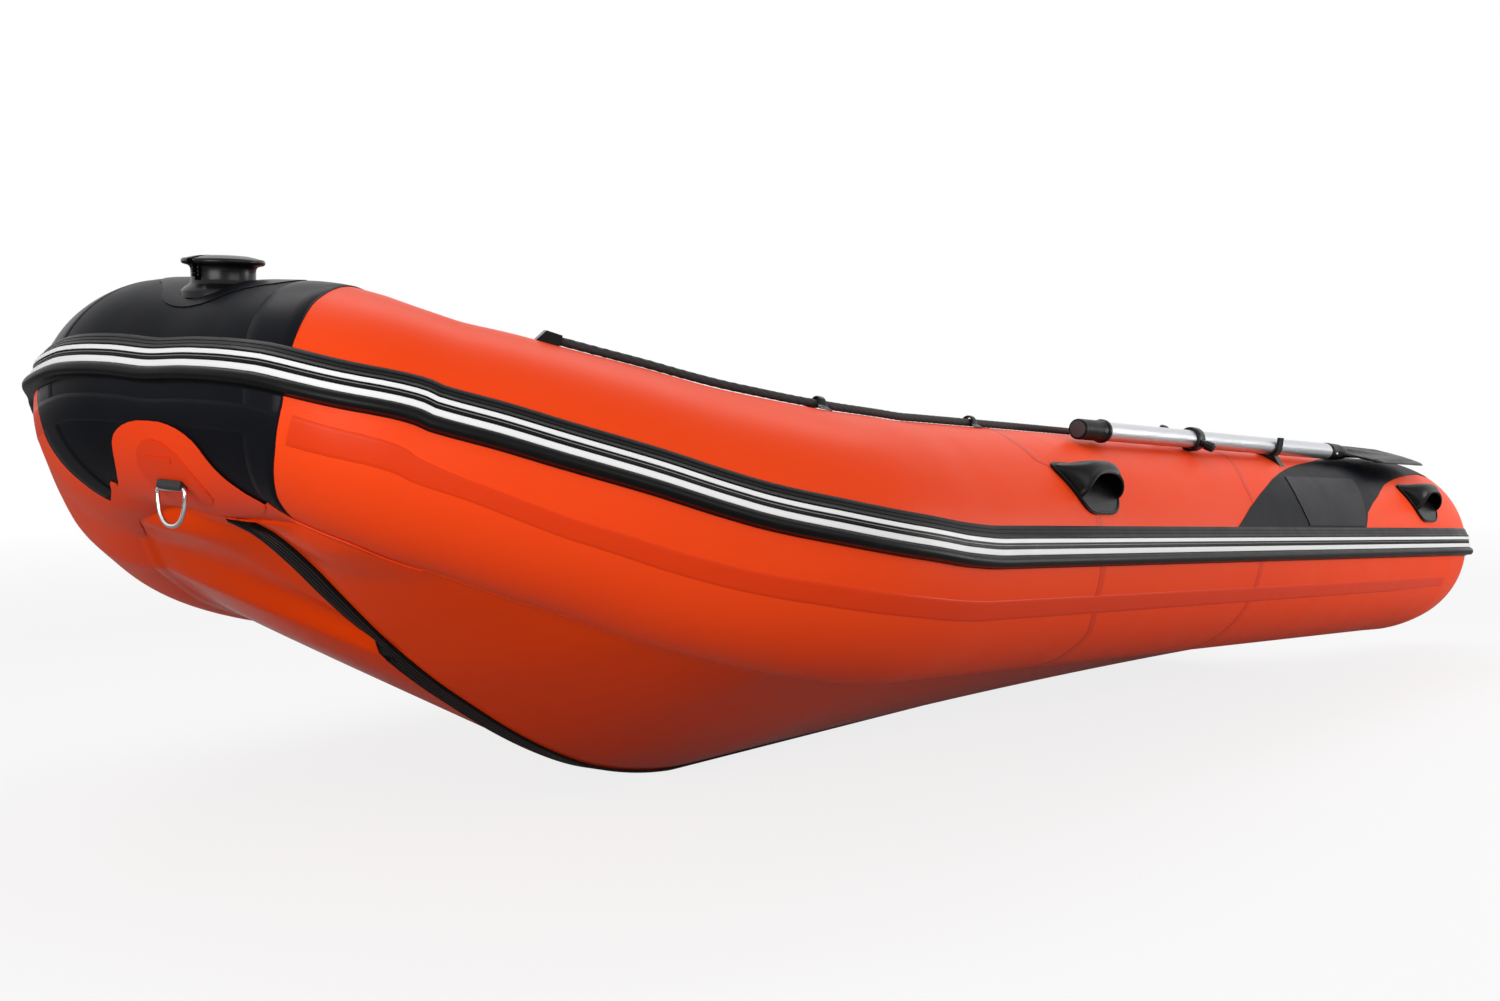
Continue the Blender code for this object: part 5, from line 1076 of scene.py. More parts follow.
def guard_section():
    """Section of the guard with its ribs: across in metres, lift in millimetres."""
    half = GUARD_HALF_WIDTH
    section = [(half, 4.6), (half, 3.0), (half - 0.0015, 1.6)]
    for i in range(GUARD_RIBS):
        middle = half - 0.0075 - i * (2 * half - 0.015) / (GUARD_RIBS - 1)
        section += [(middle + 0.0042, 0.9), (middle + 0.0028, 0.0), (middle - 0.0028, 0.0), (middle - 0.0042, 0.9)]
    return section + [(-half + 0.0015, 1.6), (-half, 3.0), (-half, 4.6)]


def keel_guard():
    """Ribbed chafing strip under the keel, slightly wider and uneven at its fore end."""
    rings = []
    for x in spread(SKIN_START, 2.1, 30)[:-1] + spread(2.1, GUARD_END, 70):
        near = max(0.0, 1 - (GUARD_END - x) / PLEATS_LENGTH)
        ring = []
        for i, (y, lift) in enumerate(guard_section()):
            pleat = 0.0022 * near * sin(i * 1.9) - 0.001 * near
            ring.append(keel_point(x, lift / 1000 - pleat) + Vector((0, y * (1 + 0.05 * near), 0)))
        rings.append(ring)
    piece("keel_guard_strip", loft(rings), RUBBER, smooth=30, replaced=["keel_guard"])


hull_skin()
keel_guard()


# ---------------------------------------------------------------- seams and glued patches


# Tapes round the side tubes: length along the tube and angle on it
SEAM_TAPES = (
    ("aft_seam_tape", ((1.21, 103), (1.21, 100), (1.244, 66), (1.322, 39), (1.335, 20), (1.335, -20), (1.33, -108))),
    ("fore_seam_tape", ((2.10, 103), (2.10, 86), (2.143, 64), (2.143, 48), (2.06, 37), (2.03, 20), (2.02, -21),
                        (1.97, -40), (1.95, -108))),
    ("aft_seam_tape_inside", ((1.21, 178), (1.21, 136))),
    ("fore_seam_tape_inside", ((2.10, 178), (2.10, 136))),
)

# Bands along the tubes under the rail: length, lower and upper angle
CHAFING_BAND = ((0.16, -25.5, -19.0), (0.5, -27.5, -19.3), (2.9, -28.5, -18.5), (3.02, -26.5, -17.0),
                (3.15, -21.5, -12.5), (3.25, -19.0, -6.0), (3.318, -17.5, -3.0))
BOW_BAND = ((-0.2115, -17.5, -3.0), (-0.17, -16.6, -2.5), (0, -16.4, -2.5), (0.17, -16.6, -2.5), (0.2415, -17.5, -3.0))
BOW_SEAM_TAPES = (("over", 24, 172), ("under", -62, 4))


def seam_tapes():
    """Tapes over the joints of the tubes' panels and the chafing band under the rail."""
    tape = FABRIC["orange tape"]
    for name, table in SEAM_TAPES:
        mesh = oriented(hoop(table, 0.011, 0.0005), lambda p: p - Vector((p.x, HALF_SPACING, 0)))
        both_sides(name, mesh, tape, smooth=60)
    mesh = oriented(band(CHAFING_BAND, 0.0008), lambda p: p - Vector((min(p.x, 2.9), 0, 0)))
    both_sides("chafing_band", mesh, tape, smooth=60)


def bow_tapes():
    """Black tapes on the bow chamber: along it under the rail, and round its ends."""
    tape = FABRIC["black tape"]
    table = [(MIDDLE + place, low, high) for place, low, high in BOW_BAND]
    mesh = oriented(band(table, 0.0014, 0.010), lambda p: p - Vector((2.6, 0, 0.1)))
    piece("bow_band", mesh, tape, smooth=60)
    for name, low, high in BOW_SEAM_TAPES:
        for (side, sign), shift in zip(SIDES, SEAM_SHIFTS):
            mesh = hoop([(seam_length(a) - shift + 0.022, a) for a in spread(low, high, 20)], 0.0205, 0.0013)
            if sign < 0:
                mesh.transform(TO_STARBOARD)
            oriented(mesh, lambda p: p - Vector((3.0, 0, 0.16)))
            piece("bow_seam_tape_{}_{}".format(name, side), mesh, tape, smooth=60)


# Halves of the patches round the bow's middle: distance from it along the tube and angle on it
SKIRT = (
    (0.0, -60), (0.172, -60), (0.172, -57.2), (0.179, -55.8), (0.219, -70.0), (0.318, -79.8), (0.372, -84.0),
    (0.372, -88), (0.0, -88),
)
FAR_SKIRT = (
    (0.0, -60), (0.165, -60), (0.165, -54), (0.172, -52.5), (0.246, -66.5), (0.318, -79.8), (0.372, -84.0),
    (0.372, -88), (0.0, -88),
)
RING_BELL = (
    (0.0, -13.0), (0.024, -13.4), (0.042, -14.8), (0.058, -16.8), (0.071, -19.2), (0.084, -22.4), (0.095, -26.5),
    (0.103, -31), (0.112, -36.5), (0.125, -43), (0.145, -50.8), (0.170, -57.6), (0.160, -62), (0.128, -69),
    (0.094, -74), (0.0, -77),
)
RING_OVAL = (
    (0.0, -21.5), (0.018, -22.6), (0.032, -25.8), (0.043, -30), (0.051, -36), (0.055, -42), (0.056, -50),
    (0.050, -57), (0.032, -62), (0.0, -64),
)
RING_STIFFENER = ((-0.026, -33.2), (0.026, -33.2), (0.026, -30.2), (-0.026, -30.2))
BOLLARD_BASE = (
    (0.0, 46.5), (0.025, 46.8), (0.045, 48.2), (0.060, 50.8), (0.070, 54.6), (0.078, 58.6), (0.089, 62.4),
    (0.104, 66.0), (0.124, 70.5), (0.134, 77), (0.130, 87), (0.112, 96), (0.07, 102), (0.0, 104),
)


def round_trip(half, far_half=None):
    """Outline across the bow's middle from its port half, and its own starboard half if it has one."""
    near = [arc_place(MIDDLE - d, a, BOW_TUBE_RADIUS) for d, a in half]
    return near + [arc_place(MIDDLE + d, a, BOW_TUBE_RADIUS) for d, a in reversed(far_half or half) if d > 0]


def bow_patches():
    """Skirt of the bottom glued up the bow, bell-shaped patch for the towing ring, and the bollard's patch."""
    corners = [arc_place(MIDDLE + d, a, BOW_TUBE_RADIUS) for d, a in RING_STIFFENER]
    stiffener = [tuple(corner) for corner in rounded_outline(corners, 0.004, 5)]
    for name, outline, lift, wall, finish, slot, replaced in (
        ("bow_skirt", round_trip(SKIRT, FAR_SKIRT), 0.0030, 0.0022, "patch", "orange_pvc", ()),
        ("ring_patch_bell", round_trip(RING_BELL), 0.0042, 0.0014, "patch", "orange_pvc", ["bow_ring_patch"]),
        ("ring_patch_oval", round_trip(RING_OVAL), 0.0054, 0.0013, "orange tape", "orange_pvc", ()),
        ("ring_patch_stiffener", stiffener, 0.0070, 0.0016, "orange tape", "orange_pvc", ()),
        ("bollard_patch", round_trip(BOLLARD_BASE), 0.0022, 0.0016, "black tape", "black_pvc", ()),
    ):
        mesh = applique(outline, lift, 0.012, BOW_TUBE_RADIUS, wall)
        piece(name, mesh, FABRIC[finish], smooth=None, replaced=replaced)


# Patch over the stern quarter and its raised panel: length along the tube and angle on it
STERN_FORE_EDGE = (
    (1.458, 12.0), (1.36, 24.5), (1.278, 32.7), (1.154, 43.8), (1.07, 50.0), (0.989, 55.0), (0.90, 59.5),
    (0.783, 64.5), (0.66, 71.5), (0.56, 80), (0.47, 90), (0.42, 99),
)
STERN_AFT_EDGE = (
    (0.30, 99), (0.21, 88), (0.13, 74), (0.06, 64), (0.028, 60.2), (0.040, 57.6), (0.124, 57.4), (0.21, 56.0),
    (0.289, 53.3), (0.36, 50.4), (0.42, 47.4), (0.48, 43.8), (0.53, 39.5), (0.577, 34.9), (0.64, 29.5),
    (0.70, 23.0), (0.742, 12.0),
)
STERN_PANEL = (
    (1.072, 46.3), (1.085, 38), (1.090, 30), (1.085, 22), (1.072, 14.6), (0.742, 14.6), (0.715, 24), (0.690, 36),
    (0.662, 47.6),
)


def stern_patches():
    """Black patch that sweeps over the stern quarter, with a plain raised panel."""
    for side, sign in SIDES:
        for name, outline, lift, wall, finish in (
            ("stern_patch_", STERN_FORE_EDGE + STERN_AFT_EDGE, 0.0010, 0.0008, "black"),
            ("stern_panel_", STERN_PANEL, 0.0024, 0.0014, "black tape"),
        ):
            mesh = applique([arc_place(*p) for p in outline], lift, 0.018, TUBE_RADIUS, wall, mirror=sign < 0)
            piece(name + side, mesh, FABRIC[finish], smooth=None)


seam_tapes()
bow_tapes()
bow_patches()
stern_patches()


# ---------------------------------------------------------------- bow fittings


def cut(mesh, cutter):
    """Mesh with another mesh cut out of it."""
    body, tool = [bpy.data.objects.new("body", each) for each in (mesh, cutter)]
    for obj in (body, tool):
        bpy.context.scene.collection.objects.link(obj)
    step = body.modifiers.new("cut", "BOOLEAN")
    step.operation = "DIFFERENCE"
    step.object = tool
    bpy.context.view_layer.update()
    result = bpy.data.meshes.new_from_object(body.evaluated_get(bpy.context.evaluated_depsgraph_get()))
    for obj in (body, tool):
        bpy.data.objects.remove(obj, do_unlink=True)
    return result


def block(low, high):
    """Box between two corners."""
    (x0, y0, z0), (x1, y1, z1) = low, high
    return loft([[(x, y0, z0), (x, y1, z0), (x, y1, z1), (x, y0, z1)] for x in (x0, x1)])


# Bollard from the middle of its top down to its foot, in millimetres: radius and height
BOLLARD_ANGLE = 75.0
BOLLARD_TOP = ((0, 41.0), (22, 40.8), (36, 39.8), (46, 37.8), (52, 36.0))
BOLLARD_LIP = [(54.6 + 5.0 * cos(radians(a)), 31.2 + 4.6 * sin(radians(a))) for a in spread(65, -85, 9)]
BOLLARD_BARREL = (
    (50, 25.4), (47.6, 23.6), (46.4, 20.5), (46.0, 14), (46.0, 6), (46.8, 1), (49.0, -2), (55, -6), (61, -12),
    (62, -22), (0, -24),
)
TEETH = 5
TEETH_START = 0.009
TEETH_STEP = 0.0052


def bollard():
    """Mushroom bollard: rounded lip, waisted barrel, spreading foot and a toothed slot that jams a rope."""
    foot = BOW_MIDDLE.point(BOLLARD_ANGLE)
    profile = [(r / 1000, h / 1000) for r, h in (*BOLLARD_TOP, *BOLLARD_LIP, *BOLLARD_BARREL)]
    upright = Vector((sin(PITCH), 0, cos(PITCH)))
    axes = axes_at(foot, Vector((upright.z, 0, -upright.x)), (0, 1, 0))
    slot = block((0.016, -0.007, 0.004), (0.07, 0.007, 0.05))
    slot.transform(axes)
    body = cut(turned(profile, turned_axes(foot, upright), 80), slot)
    softened(piece("bollard_body", body, PLASTIC, smooth=40, replaced=["bollard"]), 0.0008)
    teeth = bmesh.new()
    for side in (-1, 1):
        for i in range(TEETH):
            low = TEETH_START + i * TEETH_STEP
            verts = []
            for x, tip in ((0.022, 0.0052), (0.0505, 0.0040)):
                points = ((x, side * 0.0072, low), (x, side * tip, low + 0.0026), (x, side * 0.0072, low + 0.0046))
                verts.append([teeth.verts.new(axes @ Vector(p)) for p in points])
            for a, b in ((0, 1), (1, 2)):
                teeth.faces.new((verts[0][a], verts[0][b], verts[1][b], verts[1][a]))
            for row in verts:
                teeth.faces.new(row)
    piece("bollard_teeth", mesh_of(teeth), PLASTIC, smooth=20)


RING_ANGLE = -46.0
RING_PIVOT = BOW_MIDDLE.point(RING_ANGLE, 0.0096)
RING_HALF_WIDTH = 0.0305
RING_DROP = 0.053
RING_WIRE = 0.0034
SLEEVE_HALF_LENGTH = 0.0262
SLEEVE_REACH = 0.0066


def ring_path():
    """Middle of the ring's wire: its straight bar, then its bow."""
    down = Vector((-sin(PITCH), 0, -cos(PITCH)))
    bar = spread(RING_HALF_WIDTH - 0.003, 0.003 - RING_HALF_WIDTH, 12)
    path = [RING_PIVOT + Vector((0, y, 0)) for y in bar]
    for a in spread(178, 2, 45):
        across = RING_HALF_WIDTH * swollen(cos(radians(a)), 0.85)
        path.append(RING_PIVOT + Vector((0, across, 0)) + down * (RING_DROP * sin(radians(a)) ** 0.8))
    return path


def polished_steel():
    """Bright steel with slightly uneven shine."""
    made = Finish("polished steel", 0.09, 1.0)
    made.colour((0.74, 0.74, 0.75))
    made.roughness(made.between(made.noise(120.0, 4.0, 0.7), 0.35, 0.7, 0.06, 0.16))
    return made.material


def woven_webbing(rib_width=0.0022):
    """Black webbing with fine ribs across it."""
    made = Finish("black woven webbing", 0.7)
    rib = (made.part(made.place(), 1) * (2 * pi / rib_width)).wave()
    made.colour(made.mixed((0.007, 0.007, 0.007), (0.03, 0.03, 0.03), made.between(rib, -1.0, 1.0)))
    made.bump(rib * 0.0003 + made.noise(900.0) * 0.0003, 1.0)
    return made.material


def towing_ring():
    """Polished D ring that hangs from its bar, and the webbing sleeve that holds the bar."""
    path = ring_path()
    rings = []
    for i, point in enumerate(path):
        ahead = (path[(i + 1) % len(path)] - path[i - 1]).normalized()
        side = ahead.cross(Vector((1, 0, 0))).normalized()
        rings.append(bead(point, side, ahead.cross(side), RING_WIRE, RING_WIRE, 14))
    piece("towing_ring", loft(rings, joined=True), polished_steel(), "bow_ring", 60, ["bow_ring"])
    way = BOW_MIDDLE.point(RING_ANGLE, 1.0) - BOW_MIDDLE.point(RING_ANGLE, 0.0)
    other = way.cross(Vector((0, 1, 0)))
    rings = []
    for y in spread(-SLEEVE_HALF_LENGTH, SLEEVE_HALF_LENGTH, 17):
        reach = SLEEVE_REACH * (1 - 0.10 * (abs(y) / SLEEVE_HALF_LENGTH) ** 4)
        ring = []
        for a in spread(-150, 150, 15):
            lift = max(reach * cos(radians(a)), -0.0056)
            spread_out = reach * sin(radians(a)) * (1.0 if abs(a) < 100 else 1.5)
            ring.append(RING_PIVOT + Vector((0, y, 0)) + way * lift + other * spread_out)
        rings.append(ring)
    piece("ring_sleeve", loft(rings), woven_webbing(), smooth=50)


bollard()
towing_ring()


# ---------------------------------------------------------------- handles


HANDLE_PLACES = (("fore", 2.010, 32.6), ("aft", 0.294, 31.0))
HANDLE_HALF_HEIGHT = 0.050
HANDLE_TOP_HALF = 0.1165
HANDLE_FOOT_HALF = 0.056
HANDLE_HEIGHT = 0.040
PLATE_LIFT = 0.0044

# Arches of a handle's hood from its top down: shares of the half height, of the half width and of the height
HOOD_OUTSIDE = (
    (-0.34, 0.60, 0.96), (0.0, 0.665, 1.0), (0.35, 0.735, 0.88), (0.62, 0.79, 0.56), (0.80, 0.82, 0.26),
    (0.93, 0.83, 0.04),
)
HOOD_INSIDE = ((-0.34, 0.60, 0.96), (0.0, 0.62, 0.93), (0.30, 0.60, 0.72), (0.56, 0.50, 0.36), (0.70, 0.42, 0.10))

# Rounded lip of the hood's mouth: reach below the mouth and inset
HOOD_LIP = ((0.0028, -0.0012), (0.0046, 0.0004), (0.0046, 0.0028), (0.0024, 0.0042))


def wrapped(x, angle, across, lift):
    """Point of a fitting that follows the tube: a place along, an arc length up from an angle and a lift."""
    return tube_point(x, angle + degrees(across / TUBE_RADIUS), lift)


def hood_rows(x, angle, shares, inset):
    """Arches over the tube from smooth shares of a handle's half height, half width and hood."""
    places, widths, heights = zip(*shares)
    rows = []
    for t in spread(places[0], places[-1], 14):
        pull = 0.52 * (1 - (t - places[0]) / (places[-1] - places[0])) ** 1.2
        half = float(smooth_curve(places, widths, t)) * HANDLE_TOP_HALF - inset
        high = float(smooth_curve(places, heights, t)) * HANDLE_HEIGHT - inset
        row = []
        for a in spread(0, 180, 25):
            c, s = cos(radians(a)), sin(radians(a))
            up = HANDLE_HALF_HEIGHT * (t + pull * s ** 1.6)
            row.append(wrapped(x + half * swollen(c, 0.72), angle, up, 0.0035 + max(high, 0.001) * s ** 0.85))
        rows.append(row)
    return rows


def handle_hood(x, angle):
    """Hood that opens downwards over a finger pocket, its mouth edged by a rounded lip."""
    outer = hood_rows(x, angle, HOOD_OUTSIDE, 0.0)
    lip = []
    for reach, inset in HOOD_LIP:
        shares = [(t - reach / HANDLE_HALF_HEIGHT, width, height) for t, width, height in HOOD_OUTSIDE]
        lip.append(hood_rows(x, angle, shares, inset)[0])
    return loft(outer[::-1] + lip + hood_rows(x, angle, HOOD_INSIDE, 0.0040), closed=False)


def plate_corners(foot, top, half):
    """Corners of a handle's plate from its half lengths below and above and its half height."""
    return [(-foot, -half), (foot, -half), (top, half), (-top, half)]


def handle_plate(x, angle, mirror):
    """Plate of a handle, glued to the tube."""
    corners = plate_corners(HANDLE_FOOT_HALF, HANDLE_TOP_HALF, HANDLE_HALF_HEIGHT)
    outline = [(x + c[0], radians(angle) * TUBE_RADIUS + c[1]) for c in rounded_outline(corners, 0.030, 7)]
    return applique(outline, PLATE_LIFT, 0.016, TUBE_RADIUS, 0.0042, mirror)


def handle_rim(x, angle):
    """Raised bead along the edge of a handle's plate."""
    corners = plate_corners(HANDLE_FOOT_HALF - 0.0035, HANDLE_TOP_HALF - 0.0045, HANDLE_HALF_HEIGHT - 0.0035)
    outline = rounded_outline(corners, 0.028, 8)
    path = []
    for corner, following in zip(outline, outline[1:] + outline[:1]):
        count = max(1, int((following - corner).length / 0.008))
        points = [corner.lerp(following, k / count) for k in range(count)]
        path += [wrapped(x + p[0], angle, p[1], PLATE_LIFT) for p in points]
    rings = []
    for i, point in enumerate(path):
        ahead = (path[(i + 1) % len(path)] - path[i - 1]).normalized()
        away = Section(point.x).away(degrees(atan2(point.z, point.y - HALF_SPACING)))
        rings.append(bead(point, ahead.cross(away).normalized(), away, 0.0022, 0.0017, 8))
    return loft(rings, joined=True)


def carry_handles():
    """Two handles on each side: hood, rim and plate."""
    for name, x, angle in HANDLE_PLACES:
        hood, rim = handle_hood(x, angle), handle_rim(x, angle)
        both_sides("handle_hood_" + name, hood, HANDLE_RUBBER, smooth=50, nodes=["handle_" + name])
        both_sides("handle_rim_" + name, rim, HANDLE_RUBBER, smooth=60)
        for side, sign in SIDES:
            plate = handle_plate(x, angle, sign < 0)
            piece("handle_plate_{}_{}".format(name, side), plate, HANDLE_RUBBER, smooth=None)


carry_handles()


# ---------------------------------------------------------------- oars


OAR_LINE = Vector((0, HALF_SPACING + 0.23416 * cos(radians(67.926)), 0.23416 * sin(radians(67.926))))
OAR_X = {"grip end": 1.900, "grip": 1.800, "collar": 1.412, "blade": 0.690, "tip": 0.160}
OAR_TILT = radians(74.5)
BLADE_OUT = Vector((0, sin(OAR_TILT), -cos(OAR_TILT)))
SHAFT_RADIUS = 0.0175

# Turned pieces of an oar: radius and place along the hull
SHAFT = (
    (0, 1.86), (0.0135, 1.86), (0.0135, 1.800), (SHAFT_RADIUS, 1.800), (SHAFT_RADIUS, 1.2022),
    (SHAFT_RADIUS - 0.0005, 1.2016), (SHAFT_RADIUS - 0.0005, 1.2006), (SHAFT_RADIUS, 1.2), (SHAFT_RADIUS, 0.690),
    (0.0135, 0.690), (0.0135, 0.642), (0, 0.642),
)
NECK = (
    (0.0182, 0.6897), (0.0190, 0.688), (0.0190, 0.676), (0.0184, 0.674), (0.0184, 0.640), (0.0176, 0.620),
    (0.0150, 0.590), (0.006, 0.560),
)
SCREW = ((0, 0.0022), (0.0022, 0.0020), (0.0034, 0.0008), (0.0036, -0.001))


def along_oar(profile, steps=56, closed=False):
    """Turned piece whose profile gives (radius, place along the hull)."""
    return turned(profile, turned_axes(OAR_LINE, (1, 0, 0)), steps, closed)


def brushed_metal(name, shine, grain, pale, dark, swing):
    """Drawn or brushed aluminium: streaks along the piece, a dull and a bright share of shine."""
    made = Finish(name, shine, 1.0)
    streak = made.noise(1.0, 4.0, 0.7, made.stretched(made.place(), grain))
    made.colour(made.mixed(dark, pale, streak))
    made.roughness(made.between(streak, 0.3, 0.7, shine - 0.06, shine + swing))
    made.bump(streak * 0.00006, 1.0)
    return made.material


# Blade: length of its neck, where it is full, its half widths and the radius of its tip's corners
NECK_END = 0.060
FULL_AT = 0.200
NECK_HALF = 0.018
BLADE_HALF = 0.070
TIP_HALF = 0.066
TIP_CORNER = 0.055


def blade_half_width(aft, length):
    """Half width of the blade at a distance from its neck."""
    if aft < NECK_END:
        half = NECK_HALF
    elif aft < FULL_AT:
        share = 0.5 - 0.5 * cos(pi * (aft - NECK_END) / (FULL_AT - NECK_END))
        half = NECK_HALF + (BLADE_HALF - NECK_HALF) * share
    else:
        half = BLADE_HALF - (BLADE_HALF - TIP_HALF) * (aft - FULL_AT) / (length - FULL_AT)
    end = length - aft
    if end < TIP_CORNER:
        half = half - TIP_CORNER + sqrt(max(0.0, TIP_CORNER ** 2 - (TIP_CORNER - end) ** 2))
    return max(half, 0.0005)


def held(value):
    """Value kept between 0 and 1."""
    return min(1, max(0, value))


def blade_surface(sign):
    """One face of the blade from its neck to its tip, with a middle rib, side ribs and rounded edges."""
    length = OAR_X["blade"] - OAR_X["tip"]
    rows = []
    for t in spread(0.02, 1.0, 58):
        aft = length * t
        half = blade_half_width(aft, length)
        side_rib = 0.0020 * held((aft - 0.12) / 0.05) * held((length - aft - 0.03) / 0.03)
        row = []
        for u in spread(-1, 1, 41):
            across = half * u
            thick = 0.0026 * max(0.0, 1 - abs(u) ** 8) ** 0.5 + 0.0006
            rib = 0.0105 * max(0.0, 1 - aft / (length * 0.92)) ** 0.8 * exp(-(across / 0.0075) ** 2)
            for place in (0.022, 0.040, 0.055):
                if half > place + 0.008:
                    rib += side_rib * exp(-((abs(across) - place) / 0.0022) ** 2)
            neck = 0.0172 * sqrt(max(0.0, 1 - u * u)) * max(0.0, 1 - aft / 0.15)
            row.append((aft, across, sign * max(thick + rib, neck)))
        rows.append(row)
    return rows


def grip_profile():
    """Ribbed rubber grip, from its rounded end to the flange at its foot."""
    end, low = OAR_X["grip end"], OAR_X["grip"]
    grip = [(0, end - 0.0010), (0.0150, end), (0.0171, end - 0.0004), (0.0183, end - 0.0020), (0.0186, end - 0.0045)]
    for i in range(12):
        x = end - 0.008 - i * 0.0056
        grip += [(0.0186, x), (0.01825, x - 0.0008), (0.0186, x - 0.0016)]
    flange = ((0.0187, 0.0175), (0.0193, 0.0145), (0.0211, 0.0120), (0.0216, 0.0095), (0.0214, 0.0037),
              (0.0200, 0.0011), (0.0178, 0.0008), (0.0138, 0.0008))
    return grip + [(radius, low + x) for radius, x in flange]


def oars():
    """Shaft with its grip, and the blade with its neck and screw."""
    tube = brushed_metal(
        "brushed anodised aluminium", 0.33, (6.0, 520.0, 520.0), (0.66, 0.67, 0.69), (0.56, 0.57, 0.59), 0.07)
    grip_end = moulded("dark grip end", (0.030, 0.020, 0.024), 0.55, grain=0.0002, worn=(0.055, 0.040, 0.045))
    end = OAR_X["grip end"]
    disc = ((0, end - 0.0002), (0.0138, end + 0.0006), (0.0150, end + 0.0002), (0.0152, end - 0.0010))
    faces = zip(blade_surface(1), blade_surface(-1))
    blade = loft([[Vector(p) for p in top + low[-2:0:-1]] for top, low in faces])
    blade.transform(axes_at(OAR_LINE + Vector((OAR_X["blade"], 0, 0)), (-1, 0, 0), BLADE_OUT))
    screw = turned(SCREW, turned_axes(OAR_LINE + Vector((0.664, 0, 0)) + BLADE_OUT * 0.0186, BLADE_OUT), 20)
    for name, mesh, finish, slot, smooth, nodes in (
        ("oar_tube", along_oar(SHAFT), tube, "brushed_aluminium", 35, ["oar_shaft"]),
        ("oar_hand_grip", along_oar(grip_profile()), RUBBER, "black_rubber", 40, ["oar_grip"]),
        ("oar_grip_disc", along_oar(disc), grip_end, "black_rubber", 40, ()),
        ("oar_blade_moulding", blade, BLADE_PLASTIC, "black_plastic", 50, ["oar_blade"]),
        ("oar_blade_neck", along_oar(NECK), BLADE_PLASTIC, "black_plastic", 50, ()),
        ("oar_blade_screw", screw, tube, "brushed_aluminium", 40, ()),
    ):
        both_sides(name, mesh, finish, "oar_{}", smooth, nodes)


SWIVEL_WAY = Vector((0, cos(radians(70)), sin(radians(70))))
SWIVEL_OUT = Vector((0, SWIVEL_WAY.z, -SWIVEL_WAY.y))
COLLAR_RADII = (
    (-0.0130, 0.0210), (-0.0126, 0.0226), (-0.0110, 0.0236), (-0.0050, 0.0238), (0, 0.0234), (0.0050, 0.0238),
    (0.0110, 0.0236), (0.0126, 0.0226), (0.0130, 0.0210), (0.0130, 0.0178), (-0.0130, 0.0178),
)
EYE = ((0.0053, 0.0174), (0.0088, 0.0174), (0.0098, 0.0166), (0.0100, 0.0150), (0.0100, 0.0100), (0.0094, 0.0086),
       (0.0053, 0.0086))
ARM_SECTION = ((-0.0065, 0.0090), (0.0065, 0.0090), (0.0065, 0.0170), (-0.0065, 0.0170))
ARM_WIDTHS = ((0.0085, 1.15), (0.014, 1.0), (0.030, 0.85), (0.040, 1.0), (0.0425, 1.3))
BOSS = ((0, 0.0288), (0.0066, 0.0288), (0.0071, 0.0282), (0.0074, 0.0215), (0, 0.0215))
KNOB_SHARES = ((0, 0.72), (0.03, 0.82), (0.10, 0.97), (0.20, 1), (0.78, 1), (0.90, 0.95), (0.97, 0.82), (1.0, 0.60),
               (1.0, 0.0001))
KNUCKLE = (
    (0, 0.0145), (0.0034, 0.0145), (0.0034, 0.0085), (0.0064, 0.0085), (0.0070, 0.0079), (0.0070, -0.0079),
    (0.0064, -0.0085), (0.0034, -0.0085), (0.0034, -0.0145), (0, -0.0145),
)
SWIVEL_PIN = (
    (0, 0.0223), (0.0048, 0.0221), (0.0078, 0.0210), (0.0093, 0.0192), (0.0095, 0.0178), (0.0049, 0.0177),
    (0.0049, 0.0081), (0.0070, 0.0081), (0.0070, 0.0030), (0, 0.0030),
)


def swivel_place():
    """Foot of the swivel pin, on the tube's fabric inboard of the oar."""
    out = (OAR_LINE - Vector((0, HALF_SPACING, 0))).dot(SWIVEL_OUT) - 0.0633
    height = sqrt((TUBE_RADIUS + 0.0135) ** 2 - out ** 2)
    return Vector((OAR_X["collar"], HALF_SPACING, 0)) + SWIVEL_OUT * out + SWIVEL_WAY * height


PIN = swivel_place()


def knob(axes):
    """Knob with eight flutes down its side."""
    rings = []
    for share, radius_share in KNOB_SHARES:
        depth = 1 if 0.05 < share < 0.95 else 0.4
        row = []
        for a in (2 * pi * i / 64 for i in range(64)):
            flute = 1 - 0.13 * max(0.0, cos(8 * a)) ** 3 * depth
            reach = 0.0095 * radius_share * flute
            row.append(axes @ Vector((reach * cos(a), reach * sin(a), 0.0291 + 0.020 * share)))
        rings.append(row)
    return loft(rings)


